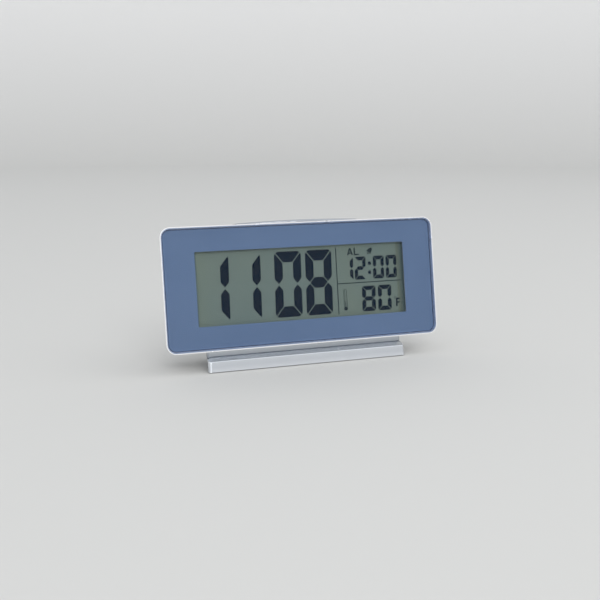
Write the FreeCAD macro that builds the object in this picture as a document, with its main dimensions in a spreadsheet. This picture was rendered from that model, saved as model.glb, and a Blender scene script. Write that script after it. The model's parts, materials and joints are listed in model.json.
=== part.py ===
import FreeCAD, Part
import math
import os
import Sketcher

# A desk clock with a liquid crystal display, leaning back on a low foot.
# World frame in mm: +X to the viewer's right, +Y to the back, +Z up, origin on the table under the middle.
# Case pieces are drawn in the leaning frame of the face plate: X right, Y up along the plate, and Z out of
# its front. A depth is counted backwards from the front of the plate, so depth d lies at Z = -d.

SIZES = {
    "how the clock stands": {
        "tilt": "9.9",
        "plate_lift": "10.8",
        "pad_proud": "0.4",
    },
    "face plate, its print and the tape behind it": {
        "lens_width": "140",
        "lens_height": "58",
        "lens_corner": "4",
        "lens_thick": "1.5",
        "lens_gap": "0.1",
        "print_thick": "0.1",
        "tape_thick": "0.3",
        "tape_width": "4",
        "window_width": "109",
        "window_bottom": "11.1",
        "window_height": "35.7",
        "window_corner": "0.6",
        "print_inset": "0.3",
        "tape_inset": "0.5",
        "tape_corner": "1.6",
    },
    "case": {
        "wall": "2",
        "rim": "0.9",
        "rim_side": "1",
        "front_wall": "1.6",
        "waist_depth": "9",
        "waist_margin": "10.2",
        "waist_bottom": "0.5",
        "waist_top": "57.5",
        "waist_corner": "7",
        "case_depth": "26.5",
        "back_inset": "2.5",
        "back_round": "2",
        "case_lip": "1.5",
        "case_lip_thick": "0.9",
        "seat_gap": "0.15",
    },
    "case screws": {
        "case_boss_gap": "0.2",
        "case_screw_low": "8.5",
        "case_screw_high": "48",
        "case_boss_r": "2.2",
        "screw_r": "1.1",
        "screw_head_r": "1.9",
        "screw_head": "1.4",
        "screw_bite": "4.5",
        "screw_play": "0.2",
        "well_seat_depth": "13",
        "well_wall": "1",
    },
    "display": {
        "glass_width": "113.6",
        "glass_bottom": "7.2",
        "glass_top": "50.2",
        "glass_ledge": "3",
        "glass_thick": "0.7",
        "polarizer_thick": "0.2",
        "polarizer_inset": "0.8",
        "holder_inset": "0.3",
        "holder_rail": "1.6",
        "guide_share": "0.667",
        "guide_gap": "0.2",
        "reflector_thick": "0.2",
        "zebra_width": "1.8",
        "zebra_margin": "4.8",
        "led_size": "2.4",
        "led_share": "0.72",
        "led_x": "25",
        "zebra_inset": "0.6",
        "guide_low_margin": "0.3",
        "guide_high_margin": "1.2",
        "rib_thick": "0.8",
        "rib_height": "1.2",
        "rib_gap": "0.2",
    },
    "circuit board": {
        "board_clear": "1.6",
        "board_thick": "1.6",
        "board_margin": "1.3",
        "board_bottom": "3.2",
        "board_top": "54.4",
        "board_notch_half": "36",
        "board_notch_bottom": "50.4",
        "board_boss_x": "48",
        "board_boss_low": "4.6",
        "board_boss_high": "52.8",
        "board_boss_r": "2.1",
        "board_screw_r": "0.9",
        "board_screw_head_r": "1.7",
        "board_screw_head": "1.2",
        "board_screw_bite": "4",
        "chip_x": "-8",
        "chip_height_up": "24",
        "chip_r": "5",
        "chip_height": "1.3",
        "crystal_x": "12",
        "crystal_up": "36.5",
        "crystal_r": "1",
        "crystal_length": "6",
        "capacitor_x": "-27",
        "capacitor_up": "36.5",
        "capacitor_r": "2.5",
        "capacitor_height": "7",
        "chip_part_x": "22",
        "chip_part_up": "34",
        "chip_part_pitch": "3",
        "chip_part_length": "1.6",
        "chip_part_width": "0.8",
        "chip_part_height": "0.6",
        "thermistor_x": "50",
        "thermistor_up": "36.5",
        "thermistor_r": "1.1",
        "thermistor_leg": "2",
        "thermistor_wire": "0.25",
    },
    "snooze bar": {
        "bar_half": "31.5",
        "bar_front": "5",
        "bar_top": "60.4",
        "bar_crown": "1.6",
        "bar_round": "1",
        "bar_gap": "0.35",
        "bar_wall": "1.4",
        "bar_travel": "1",
        "bar_bottom": "54.2",
        "bar_tab": "2.2",
        "bar_tab_thick": "1.2",
        "bar_stem_r": "1.1",
        "bar_stem_margin": "1.2",
        "snooze_plunger_r": "1.2",
        "snooze_plunger_proud": "1.4",
        "snooze_plunger_sunk": "0.6",
        "snooze_switch_height": "4",
    },
    "keys on the back": {
        "key_pitch": "18",
        "key_height": "41.2",
        "key_r": "3.6",
        "key_gap": "0.25",
        "key_proud": "0.8",
        "key_flange": "1",
        "key_flange_thick": "1",
        "key_stem_r": "2",
        "key_travel": "0.5",
        "key_guide": "2.5",
        "key_guide_wall": "0.8",
        "switch_size": "6",
        "switch_height": "4.4",
        "plunger_r": "1.6",
        "plunger_proud": "1.6",
        "plunger_gap": "0.15",
        "plunger_sunk": "0.3",
    },
    "alarm switch": {
        "slide_x": "44",
        "slide_height": "20",
        "slide_travel": "3",
        "slide_knob_length": "4",
        "slide_knob_width": "3",
        "slide_knob_proud": "1.2",
        "slide_plate_length": "12",
        "slide_plate_width": "6",
        "slide_plate_thick": "1",
        "slide_gap": "0.2",
        "lever_length": "2",
        "lever_width": "1.6",
        "lever_height": "3",
        "lever_foot": "0.8",
        "slide_can_length": "9",
        "slide_can_width": "4.4",
        "slide_can_height": "3.6",
    },
    "battery bay": {
        "cell_r": "5.25",
        "cell_length": "43.5",
        "cell_nub_r": "1.9",
        "cell_nub": "1",
        "cell_gap": "0.3",
        "bay_middle": "19.8",
        "door_clear": "0.65",
        "bay_wall": "1.2",
        "contact_thick": "0.4",
        "contact_half": "3.6",
        "tab_half": "1.5",
        "tab_rise": "2.6",
        "tab_length": "4.1",
        "lead_r": "0.5",
        "lead_run": "6",
        "lead_bend": "1.5",
        "spring_length": "5",
        "spring_r": "3",
        "spring_wire": "0.5",
        "spring_turns": "3",
        "door_thick": "1.6",
        "door_gap": "0.3",
        "door_ledge": "1.2",
        "tongue_x": "14",
        "tongue_width": "8",
        "tongue_reach": "1.5",
        "tongue_thick": "1.1",
        "latch_width": "10",
        "latch_slit": "0.8",
        "latch_length": "5",
        "grip_radius": "4.5",
        "grip_depth": "1",
        "grip_ridge": "0.5",
    },
    "buzzer": {
        "buzzer_x": "-44",
        "buzzer_height": "20",
        "buzzer_r": "10",
        "buzzer_thick": "0.4",
        "buzzer_ring": "2.5",
        "buzzer_seat": "1.2",
        "sound_half": "6.5",
        "slot_taper": "1.5",
        "slot_pitch": "2.6",
        "slot_width": "1.1",
    },
    "foot": {
        "foot_width": "103.6",
        "foot_taper": "20",
        "foot_front": "2.4",
        "lip_top_front": "1.2",
        "lip_top": "5.2",
        "riser_foot": "2",
        "riser_foot_height": "6.4",
        "riser_lean": "0.8",
        "foot_depth": "33",
        "neck_back": "23",
        "foot_wall": "2",
        "foot_corner": "1.2",
        "lip_round": "0.4",
        "foot_back_corner": "4",
        "foot_screw_x": "34",
        "foot_screw_depth": "18",
        "foot_boss": "5",
        "foot_seat": "2",
        "foot_pad_r": "4",
        "foot_pad_x": "30",
        "foot_pad_front": "7",
        "foot_pad_back": "27",
    },
}

DERIVED = {
    "waist_width": "glass_width + 2 * waist_margin",
    "case_screw_x": "glass_width / 2 + case_boss_r + case_boss_gap",
    "board_width": "glass_width - 2 * board_margin",
    "zebra_length": "glass_width - 2 * zebra_margin",
    "bay_floor": "case_depth - door_thick - door_clear - 2 * cell_r - cell_gap / 2 - bay_wall",
    "tab_depth": "bay_floor + tab_rise",
    "board_front": "bay_floor - board_clear - board_thick",
    "back_width": "waist_width - 2 * back_inset",
    "back_bottom": "waist_bottom + back_inset",
    "back_top": "waist_top - back_inset",
    "back_corner": "waist_corner - back_inset",
    "wall_front": "lens_thick + print_thick + tape_thick",
    "wall_back": "wall_front + front_wall",
    "rim_half": "lens_width / 2 + rim",
    "rim_bottom": "-rim",
    "rim_top": "lens_height + rim",
    "flare_share": "(wall_back - rim_side) / (waist_depth - rim_side)",
    "inner_half_front": "rim_half - wall - (rim_half - waist_width / 2) * flare_share",
    "inner_bottom_front": "rim_bottom + wall + (waist_bottom - rim_bottom) * flare_share",
    "inner_top_front": "rim_top - wall - (rim_top - waist_top) * flare_share",
    "inner_half_waist": "waist_width / 2 - wall",
    "inner_bottom_waist": "waist_bottom + wall",
    "inner_top_waist": "waist_top - wall",
    "inner_half_back": "back_width / 2 - wall",
    "inner_bottom_back": "back_bottom + wall",
    "inner_top_back": "back_top - wall",
    "back_inside": "case_depth - wall",
    "window_top": "window_bottom + window_height",
    "front_polarizer_front": "wall_back",
    "front_glass_front": "front_polarizer_front + polarizer_thick",
    "rear_glass_front": "front_glass_front + glass_thick",
    "rear_polarizer_front": "rear_glass_front + glass_thick",
    "display_back": "rear_polarizer_front + polarizer_thick",
    "board_back": "board_front + board_thick",
    "bar_stem_depth": "board_back + snooze_switch_height / 2",
    "bar_back": "bar_stem_depth + bar_stem_margin",
    "guide_thick": "(board_front - display_back) * guide_share",
    "led_height": "(board_front - display_back) * led_share",
    "holder_half": "glass_width / 2 - holder_inset",
    "holder_bottom": "glass_bottom + holder_inset",
    "holder_top": "glass_top - holder_inset",
    "zebra_bottom": "glass_bottom + zebra_inset",
    "guide_front": "display_back + guide_gap / 2",
    "guide_bottom": "window_bottom - guide_low_margin",
    "guide_top": "window_top + guide_high_margin",
    "snooze_plunger_top": "board_notch_bottom + snooze_plunger_proud",
    "snooze_plunger_bottom": "board_notch_bottom - bar_travel - snooze_plunger_sunk",
    "key_flange_back": "back_inside - slide_gap",
    "key_stem_front": "board_back + switch_height + plunger_proud",
    "switch_top": "board_back + switch_height",
    "plunger_bottom": "switch_top - key_travel - plunger_sunk",
    "slide_can_top": "board_back + slide_can_height",
    "bay_length": "cell_length + cell_nub + spring_length + 2 * contact_thick",
    "bay_half": "bay_length / 2 + cell_gap / 2",
    "bay_bottom": "bay_middle - 2 * cell_r - 1.5 * cell_gap",
    "bay_top": "bay_middle + 2 * cell_r + 1.5 * cell_gap",
    "bay_inside": "bay_floor + bay_wall",
    "cell_depth": "bay_inside + cell_gap / 2 + cell_r",
    "upper_cell_height": "bay_middle + cell_r + cell_gap / 2",
    "lower_cell_height": "bay_middle - cell_r - cell_gap / 2",
    "door_inside": "case_depth - door_thick",
    "tongue_back": "back_inside - seat_gap",
    "buzzer_face": "back_inside - buzzer_ring",
    "floor_rise": "back_inset / (case_depth - back_round - waist_depth)",
    "foot_face": "waist_bottom + floor_rise * (foot_screw_depth - waist_depth)",
    "foot_boss_top": "foot_face + wall + foot_boss",
    "door_half": "bay_half + door_ledge",
    "door_bottom": "bay_bottom - door_ledge",
    "door_top": "bay_top + door_ledge",
    "back_edge": "(back_top - back_round) * sin(tilt) + case_depth * cos(tilt)",
    "plate_y": "(foot_front - back_edge) / 2",
    "foot_front_y": "plate_y - foot_front",
    "foot_back_y": "foot_front_y + foot_depth",
    "foot_slope": "tan(foot_taper)",
    "neck_top": "plate_lift + wall",
    "cavity_front": "plate_y + riser_foot + riser_lean + foot_wall",
    "cavity_back": "plate_y + neck_back - foot_wall",
    "well_top": "foot_face - foot_seat",
    "foot_floor": "(pad_proud + foot_wall / 2 - plate_lift + foot_screw_depth * sin(tilt)) / cos(tilt)",
}

V = FreeCAD.Vector
COIL_SIDES = 12
doc = FreeCAD.newDocument("DeskClock")
dims = doc.addObject("Spreadsheet::Sheet", "Dims")


def fill_sheet():
    row = 0
    for heading, sizes in SIZES.items():
        row += 1
        dims.set(f"A{row}", heading)
        for name, size in sizes.items():
            row += 1
            dims.set(f"A{row}", name)
            dims.set(f"B{row}", size)
            dims.setAlias(f"B{row}", name)
    for name, formula in DERIVED.items():
        row += 1
        dims.set(f"A{row}", name)
        dims.set(f"B{row}", "=" + formula)
        dims.setAlias(f"B{row}", name)
    doc.recompute()


def sheet_words(expression):
    """The expression with every size's alias written as a cell of the sheet."""
    words = []
    word = ""
    for letter in expression + " ":
        if letter.isalnum() or letter == "_":
            word += letter
            continue
        words.append("Dims." + word if word in ALIASES else word)
        words.append(letter)
        word = ""
    return "".join(words).strip()


ALIASES = {name for sizes in SIZES.values() for name in sizes} | set(DERIVED)


def value(expression):
    return float(dims.evalExpression(sheet_words(expression)))


def bind(target, path, expression):
    target.setExpression(path, sheet_words(expression))


# Sketches

def new_body(name, leaning=True, at=("0", "0", "0")):
    """A body in the leaning frame at x, height up the plate and depth, or in the world frame at x, y, z."""
    body = doc.addObject("PartDesign::Body", name)
    body.Label = name
    place(body, leaning, at)
    return body


def place(piece, leaning, at):
    turn = FreeCAD.Rotation(V(1, 0, 0), 1.0 if leaning else 0.0)
    piece.Placement = FreeCAD.Placement(V(0, 0, 0), turn)
    x, second, third = at
    bind(piece, "Placement.Base.x", x)
    if leaning:
        bind(piece, "Placement.Rotation.Angle", "90 - tilt")
        bind(piece, "Placement.Base.y", f"plate_y + ({second}) * sin(tilt) + ({third}) * cos(tilt)")
        bind(piece, "Placement.Base.z", f"plate_lift + ({second}) * cos(tilt) - ({third}) * sin(tilt)")
    else:
        bind(piece, "Placement.Base.y", second)
        bind(piece, "Placement.Base.z", third)


def new_sketch(body, role, offset):
    sketch = body.newObject("Sketcher::SketchObject", body.Name + "_sketch")
    plane = next(item for item in body.Origin.OriginFeatures if item.Role == role)
    sketch.AttachmentSupport = [(plane, "")]
    sketch.MapMode = "FlatFace"
    bind(sketch, "AttachmentOffset.Base.z", offset)
    return sketch


def lean_sketch_plane(sketch, up):
    """Turns a plan sketch of an upright body so that it lies square to the case's height direction."""
    sketch.AttachmentOffset = FreeCAD.Placement(V(0, 0, 0), FreeCAD.Rotation(V(1, 0, 0), -1))
    bind(sketch, "AttachmentOffset.Rotation.Angle", "0 - tilt")
    bind(sketch, "AttachmentOffset.Base.y", f"plate_y + ({up}) * sin(tilt)")
    bind(sketch, "AttachmentOffset.Base.z", f"plate_lift + ({up}) * cos(tilt)")


def constrain(sketch, kind, *parts):
    *geometry, expression = parts
    index = sketch.addConstraint(Sketcher.Constraint(kind, *geometry, value(expression)))
    bind(sketch, f"Constraints[{index}]", expression)


def polygon(*points):
    """Draws a closed outline through points whose coordinates are formulas."""
    def draw(sketch):
        places = [V(value(x), value(y), 0) for x, y in points]
        lines = []
        for start, end in zip(places, places[1:] + places[:1]):
            lines.append(sketch.addGeometry(Part.LineSegment(start, end)))
        for index, (x, y) in enumerate(points):
            sketch.addConstraint(Sketcher.Constraint("Coincident", lines[index - 1], 2, lines[index], 1))
            constrain(sketch, "DistanceX", -1, 1, lines[index], 1, x)
            constrain(sketch, "DistanceY", -1, 1, lines[index], 1, y)
    return draw


def box(left, right, low, high):
    return polygon((left, low), (right, low), (right, high), (left, high))


def square(x, y, half):
    return box(f"{x} - ({half})", f"{x} + {half}", f"{y} - ({half})", f"{y} + {half}")


def wide_box(half, low, high):
    return box(f"-({half})", half, low, high)


def rounded_box(left, right, low, high, corner):
    def draw(sketch):
        x0, x1, y0, y1, r = [value(edge) for edge in (left, right, low, high, corner)]
        sides = [
            (V(x0 + r, y0, 0), V(x1 - r, y0, 0)),
            (V(x1, y0 + r, 0), V(x1, y1 - r, 0)),
            (V(x1 - r, y1, 0), V(x0 + r, y1, 0)),
            (V(x0, y1 - r, 0), V(x0, y0 + r, 0)),
        ]
        centres = [V(x1 - r, y0 + r, 0), V(x1 - r, y1 - r, 0), V(x0 + r, y1 - r, 0), V(x0 + r, y0 + r, 0)]
        lines = [sketch.addGeometry(Part.LineSegment(*side)) for side in sides]
        arcs = []
        for quarter, centre in enumerate(centres):
            circle = Part.Circle(centre, V(0, 0, 1), r)
            start = math.radians(90 * (quarter - 1))
            arcs.append(sketch.addGeometry(Part.ArcOfCircle(circle, start, start + math.pi / 2)))
        for index in range(4):
            following = lines[(index + 1) % 4]
            sketch.addConstraint(Sketcher.Constraint("Tangent", lines[index], 2, arcs[index], 1))
            sketch.addConstraint(Sketcher.Constraint("Tangent", arcs[index], 2, following, 1))
            direction = "Vertical" if index % 2 else "Horizontal"
            sketch.addConstraint(Sketcher.Constraint(direction, lines[index]))
        for arc in arcs[1:]:
            sketch.addConstraint(Sketcher.Constraint("Equal", arcs[0], arc))
        constrain(sketch, "Radius", arcs[0], corner)
        constrain(sketch, "DistanceY", -1, 1, lines[0], 1, low)
        constrain(sketch, "DistanceX", -1, 1, lines[1], 1, right)
        constrain(sketch, "DistanceY", -1, 1, lines[2], 1, high)
        constrain(sketch, "DistanceX", -1, 1, lines[3], 1, left)
    return draw


def wide_rounded_box(half, low, high, corner):
    return rounded_box(f"-({half})", half, low, high, corner)


def circle(x, y, radius):
    def draw(sketch):
        index = sketch.addGeometry(Part.Circle(V(value(x), value(y), 0), V(0, 0, 1), value(radius)))
        constrain(sketch, "Radius", index, radius)
        constrain(sketch, "DistanceX", -1, 1, index, 3, x)
        constrain(sketch, "DistanceY", -1, 1, index, 3, y)
    return draw


def many_sided(x, y, radius, sides=6):
    """A plain outline with flat sides for hidden posts, bores and shanks."""
    return polygon(*[(f"{x} + ({radius}) * cos({360 / sides * step})", f"{y} + ({radius}) * sin({360 / sides * step})")
                     for step in range(sides)])


def screw_head(x, y, radius):
    return many_sided(x, y, radius, 12)


# Features

def extrude(body, kind, outlines, offset, length, role="XY_Plane", both_ways=False, lean_at=None):
    """Pads or pockets the outlines from a plane at the given offset, and checks that it did something."""
    sketch = new_sketch(body, role, offset)
    if lean_at:
        lean_sketch_plane(sketch, lean_at)
    for outline in outlines:
        outline(sketch)
    before = body.Shape.Volume if body.Tip else 0.0
    feature = body.newObject("PartDesign::" + kind, body.Name + "_" + kind.lower())
    feature.Profile = sketch
    feature.Midplane = both_ways
    feature.Refine = False
    bind(feature, "Length", length)
    body.Tip = feature
    doc.recompute()
    change = body.Shape.Volume - before
    if (kind == "Pad") != (change > 0) or abs(change) < 1e-6:
        raise ValueError(f"{feature.Name} of {body.Label} changes the volume by {change}")
    return feature


def slab(body, front, back, *outlines):
    """Adds material between two depths."""
    return extrude(body, "Pad", outlines, f"-({back})", f"({back}) - ({front})")


def recess(body, front, back, *outlines):
    """Takes material away between two depths."""
    return extrude(body, "Pocket", outlines, f"-({front})", f"({back}) - ({front})")


def loft(body, kind, sections):
    """Joins outlines at increasing depths with straight sides."""
    sketches = []
    for depth, outline in sections:
        sketch = new_sketch(body, "XY_Plane", f"-({depth})")
        outline(sketch)
        sketches.append(sketch)
    before = body.Shape.Volume if body.Tip else 0.0
    feature = body.newObject("PartDesign::" + kind, body.Name + "_loft")
    feature.Profile = sketches[0]
    feature.Sections = sketches[1:]
    feature.Ruled = True
    feature.Refine = False
    body.Tip = feature
    doc.recompute()
    change = body.Shape.Volume - before
    if (kind == "AdditiveLoft") != (change > 0) or abs(change) < 1e-6:
        raise ValueError(f"{feature.Name} of {body.Label} changes the volume by {change}")
    return feature


def fillet(body, radius, chosen):
    """Rounds the edges that the given test picks."""
    base = body.Tip
    shape = base.Shape
    names = [f"Edge{number}" for number, edge in enumerate(shape.Edges, 1) if chosen(edge)]
    if not names:
        raise ValueError(f"no edge of {body.Label} was picked")
    feature = body.newObject("PartDesign::Fillet", body.Name + "_fillet")
    feature.Base = (base, names)
    bind(feature, "Radius", radius)
    body.Tip = feature
    doc.recompute()
    return feature


def runs_along(edge, axis):
    """True for a straight edge that is parallel to the axis."""
    box_of = edge.BoundBox
    spans = {name: getattr(box_of, name + "Length") for name in "XYZ"}
    along = spans.pop(axis)
    return along > 1e-3 and max(spans.values()) < 1e-4


def plate(name, front, back, *outlines):
    """A piece that is one slab in the leaning frame."""
    body = new_body(name)
    slab(body, front, back, *outlines)
    return body


def case_corners(radius, outline=many_sided):
    return [outline(side + "case_screw_x", height, radius)
            for side in ("", "-") for height in ("case_screw_low", "case_screw_high")]


def board_fixings(radius):
    corners = [many_sided(side + "board_boss_x", height, radius)
               for side in ("", "-") for height in ("board_boss_low", "board_boss_high")]
    return corners + [many_sided("0", "board_boss_low", radius)]


# Face plate, print and tape

def lens_outline(gap):
    half = f"lens_width / 2 + {gap}"
    return wide_rounded_box(half, f"-({gap})", f"lens_height + {gap}", f"lens_corner + {gap}")


def window_outline(margin):
    half = f"window_width / 2 + {margin}"
    low = f"window_bottom - {margin}"
    return wide_rounded_box(half, low, f"window_top + {margin}", f"window_corner + {margin}")


def make_face_plate():
    plate("front_lens", "0", "lens_thick", lens_outline("0"))
    plate("lens_print", "lens_thick", "lens_thick + print_thick", lens_outline("-print_inset"),
          window_outline("0"))
    inside = wide_rounded_box("lens_width / 2 - tape_width", "tape_width", "lens_height - tape_width",
                              "tape_corner")
    plate("lens_tape", "wall_front - tape_thick", "wall_front", lens_outline("-tape_inset"), inside)


# Front case

def rim_outline():
    return wide_rounded_box("rim_half", "rim_bottom", "rim_top", "lens_corner + rim")


def waist_outline():
    return wide_rounded_box("waist_width / 2", "waist_bottom", "waist_top", "waist_corner")


def back_outline(share):
    """The back's outline, drawn in by a share of the rounding along its edge."""
    inset = f"back_round * {share}"
    return wide_rounded_box(f"back_width / 2 - {inset}", f"back_bottom + {inset}", f"back_top - {inset}",
                            f"back_corner - {inset}")


def add_front_form(body):
    slab(body, "0", "rim_side", rim_outline())
    loft(body, "AdditiveLoft", [("rim_side", rim_outline()), ("waist_depth", waist_outline())])


def add_rear_form(body):
    sections = [("waist_depth", waist_outline())]
    for turn in (0, 30, 60, 90):
        sections.append((f"case_depth - back_round * (1 - sin({turn}))", back_outline(f"(1 - cos({turn}))")))
    loft(body, "AdditiveLoft", sections)


def inner_waist_outline():
    return wide_rounded_box("inner_half_waist", "inner_bottom_waist", "inner_top_waist", "waist_corner - wall")


def add_display_ribs(body):
    outside = wide_box("glass_width / 2 + rib_gap + rib_thick", "glass_bottom - rib_gap - rib_thick",
                       "glass_top + rib_gap + rib_thick")
    inside = wide_box("glass_width / 2 + rib_gap", "glass_bottom - rib_gap", "glass_top + rib_gap")
    slab(body, "wall_back", "wall_back + rib_height", outside, inside)


def bar_notch():
    return wide_box("bar_half + bar_gap", "inner_top_waist - wall", "rim_top + rim")


def make_front_case():
    body = new_body("front_case")
    add_front_form(body)
    recess(body, "0", "wall_front", lens_outline("lens_gap"))
    inner_front = wide_rounded_box("inner_half_front", "inner_bottom_front", "inner_top_front",
                                   "waist_corner - wall")
    loft(body, "SubtractiveLoft", [("wall_back", inner_front), ("waist_depth", inner_waist_outline())])
    recess(body, "wall_front", "wall_back", window_outline("rib_thick"))
    add_display_ribs(body)
    slab(body, "wall_back", "waist_depth",
         *case_corners("case_boss_r"))
    slab(body, "wall_back", "board_front", *board_fixings("board_boss_r"))
    recess(body, "waist_depth - screw_bite", "waist_depth", *case_corners("screw_r"))
    recess(body, "board_front - board_screw_bite", "board_front", *board_fixings("board_screw_r"))
    recess(body, "bar_front - bar_gap", "waist_depth", bar_notch())


# Rear case

def key_places():
    """The five keys on the back, from left to right as seen from the front."""
    names = ["time_key", "alarm_key", "unit_key", "hour_key", "minute_key"]
    return [(name, f"{step} * key_pitch") for name, step in zip(names, range(-2, 3))]


def add_battery_bay(body):
    slab(body, "bay_floor", "back_inside",
         wide_box("bay_half + bay_wall", "bay_bottom - bay_wall", "bay_top + bay_wall"))
    recess(body, "bay_inside", "case_depth", wide_box("bay_half", "bay_bottom", "bay_top"))
    recess(body, "door_inside", "case_depth",
           wide_box("door_half + door_gap", "door_bottom - door_gap", "door_top + door_gap"))
    for side in ("-", ""):
        slot = box(f"{side}tongue_x - tongue_width / 2 - door_gap", f"{side}tongue_x + tongue_width / 2 + door_gap",
                   "bay_bottom - bay_wall", "bay_bottom")
        recess(body, "door_inside - 2.5 * tongue_thick", "door_inside", slot)
    for height in ("upper_cell_height", "lower_cell_height"):
        tab_slot = box("bay_half", "bay_half + bay_wall",
                       f"{height} - tab_half - seat_gap", f"{height} + tab_half + seat_gap")
        recess(body, "tab_depth - seat_gap", "tab_depth + contact_thick + seat_gap", tab_slot)
    recess(body, "case_depth - grip_depth", "case_depth", circle("0", "door_top", "grip_radius"))


def add_key_openings(body):
    for name, x in key_places():
        slab(body, "back_inside - key_guide", "back_inside",
             square(x, "key_height", "key_r + key_flange + slide_gap + key_guide_wall"),
             square(x, "key_height", "key_r + key_flange + slide_gap"))
    recess(body, "back_inside", "case_depth",
           *[circle(x, "key_height", "key_r + key_gap") for name, x in key_places()])


def add_screw_wells(body):
    slab(body, "waist_depth", "back_inside",
         *case_corners("screw_head_r + screw_play + well_wall", square))
    recess(body, "well_seat_depth", "case_depth", *case_corners("screw_head_r + screw_play", circle))
    recess(body, "waist_depth", "well_seat_depth", *case_corners("screw_r + screw_play"))


def add_slide_opening(body):
    reach = "slide_travel / 2 + slide_knob_length / 2 + slide_gap"
    half_width = "slide_knob_width / 2 + slide_gap"
    recess(body, "back_inside", "case_depth",
           box(f"slide_x - ({reach})", f"slide_x + {reach}",
               f"slide_height - ({half_width})", f"slide_height + {half_width}"))
    rail_half = "slide_plate_length / 2 + slide_travel / 2 + slide_gap"
    for near, far in (("slide_plate_width / 2 + slide_gap", "slide_plate_width / 2 + slide_gap + rib_thick"),
                      ("-slide_plate_width / 2 - slide_gap - rib_thick", "-slide_plate_width / 2 - slide_gap")):
        slab(body, "back_inside - slide_gap - slide_plate_thick", "back_inside",
             box(f"slide_x - ({rail_half})", f"slide_x + {rail_half}",
                 f"slide_height + ({near})", f"slide_height + ({far})"))


def add_buzzer_seat(body):
    slab(body, "back_inside - buzzer_ring", "back_inside",
         many_sided("buzzer_x", "buzzer_height", "buzzer_r", 12),
         many_sided("buzzer_x", "buzzer_height", "buzzer_r - buzzer_seat", 12))
    slots = []
    for step in range(-2, 3):
        middle = f"buzzer_height + ({step} * slot_pitch)"
        half = f"(sound_half - {abs(step)} * slot_taper)"
        slots.append(box(f"buzzer_x - {half}", f"buzzer_x + {half}",
                         f"{middle} - slot_width / 2", f"{middle} + slot_width / 2"))
    recess(body, "back_inside", "case_depth", *slots)


def add_foot_bosses(body):
    top = "foot_boss_top"
    for side in ("-", ""):
        extrude(body, "Pad", [many_sided(side + "foot_screw_x", "-foot_screw_depth", "case_boss_r")],
                f"-({top})", "foot_boss + wall / 2", "XZ_Plane")
    pilots = [many_sided(side + "foot_screw_x", "-foot_screw_depth", "screw_r") for side in ("-", "")]
    extrude(body, "Pocket", pilots, "-(foot_face - wall)", "foot_boss + 2 * wall", "XZ_Plane")


def make_rear_case():
    body = new_body("rear_case")
    add_rear_form(body)
    inner_back = wide_rounded_box("inner_half_back", "inner_bottom_back", "inner_top_back",
                                  "back_corner - wall")
    loft(body, "SubtractiveLoft", [("waist_depth", inner_waist_outline()), ("back_inside", inner_back)])
    for side in ("left", "right"):
        near, far = "inner_half_waist - seat_gap - case_lip_thick", "inner_half_waist - seat_gap"
        edges = (near, far) if side == "right" else (f"-({far})", f"-({near})")
        slab(body, "waist_depth - case_lip", "waist_depth + wall",
             box(*edges, "glass_bottom + wall", "glass_top - wall"))
    add_battery_bay(body)
    add_key_openings(body)
    add_screw_wells(body)
    add_slide_opening(body)
    add_buzzer_seat(body)
    add_foot_bosses(body)
    recess(body, "waist_depth", "bar_back + bar_gap", bar_notch())


# Battery door, cells and contacts

def make_battery_door():
    body = new_body("battery_door")
    slab(body, "door_inside", "case_depth", wide_box("door_half", "door_bottom", "door_top"))
    for side in ("-", ""):
        left = f"{side}tongue_x - tongue_width / 2"
        right = f"{side}tongue_x + tongue_width / 2"
        slab(body, "tongue_back - tongue_thick", "door_inside",
             box(left, right, "door_bottom + seat_gap", "bay_bottom"))
        slab(body, "tongue_back - tongue_thick", "tongue_back",
             box(left, right, "door_bottom - door_gap - tongue_reach", "bay_bottom"))
    for side in ("-", ""):
        middle = f"{side}latch_width / 2"
        recess(body, "door_inside", "case_depth",
               box(f"{middle} - latch_slit / 2", f"{middle} + latch_slit / 2",
                   "door_top - latch_length", "door_top"))
    grip = wide_box("latch_width / 2 - latch_slit", "door_top - 2 * latch_slit", "door_top - latch_slit")
    slab(body, "case_depth", "case_depth + grip_ridge", grip)


def make_cell(name, height, nub_side):
    """A cell lies along X. nub_side is 1 if its positive end points to +X."""
    body = new_body(name)
    centre = (height, "-cell_depth")
    nub_face = "bay_half - contact_thick - seat_gap"
    if nub_side > 0:
        extrude(body, "Pad", [circle(*centre, "cell_r")], f"{nub_face} - cell_nub - cell_length",
                "cell_length", "YZ_Plane")
        extrude(body, "Pad", [many_sided(*centre, "cell_nub_r", 16)], f"{nub_face} - cell_nub", "cell_nub", "YZ_Plane")
    else:
        extrude(body, "Pad", [circle(*centre, "cell_r")], f"cell_nub - ({nub_face})", "cell_length", "YZ_Plane")
        extrude(body, "Pad", [many_sided(*centre, "cell_nub_r", 16)], f"-({nub_face})", "cell_nub", "YZ_Plane")


def make_contact(name, heights, side, with_tab):
    """A spring steel plate at one end of the bay, beside the cells at the given heights."""
    body = new_body(name)
    low = f"{heights[0]} - contact_half"
    high = f"{heights[-1]} + contact_half"
    place_x = "bay_half - contact_thick" if side > 0 else "-bay_half"
    extrude(body, "Pad", [box(low, high, "-(cell_depth + contact_half)", "-(cell_depth - contact_half)")],
            place_x, "contact_thick", "YZ_Plane")
    if with_tab:
        extrude(body, "Pad", [box(f"{heights[0]} - tab_half", f"{heights[0]} + tab_half",
                                  "-(tab_depth + contact_thick)", "-tab_depth")],
                place_x, "tab_length", "YZ_Plane")


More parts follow.
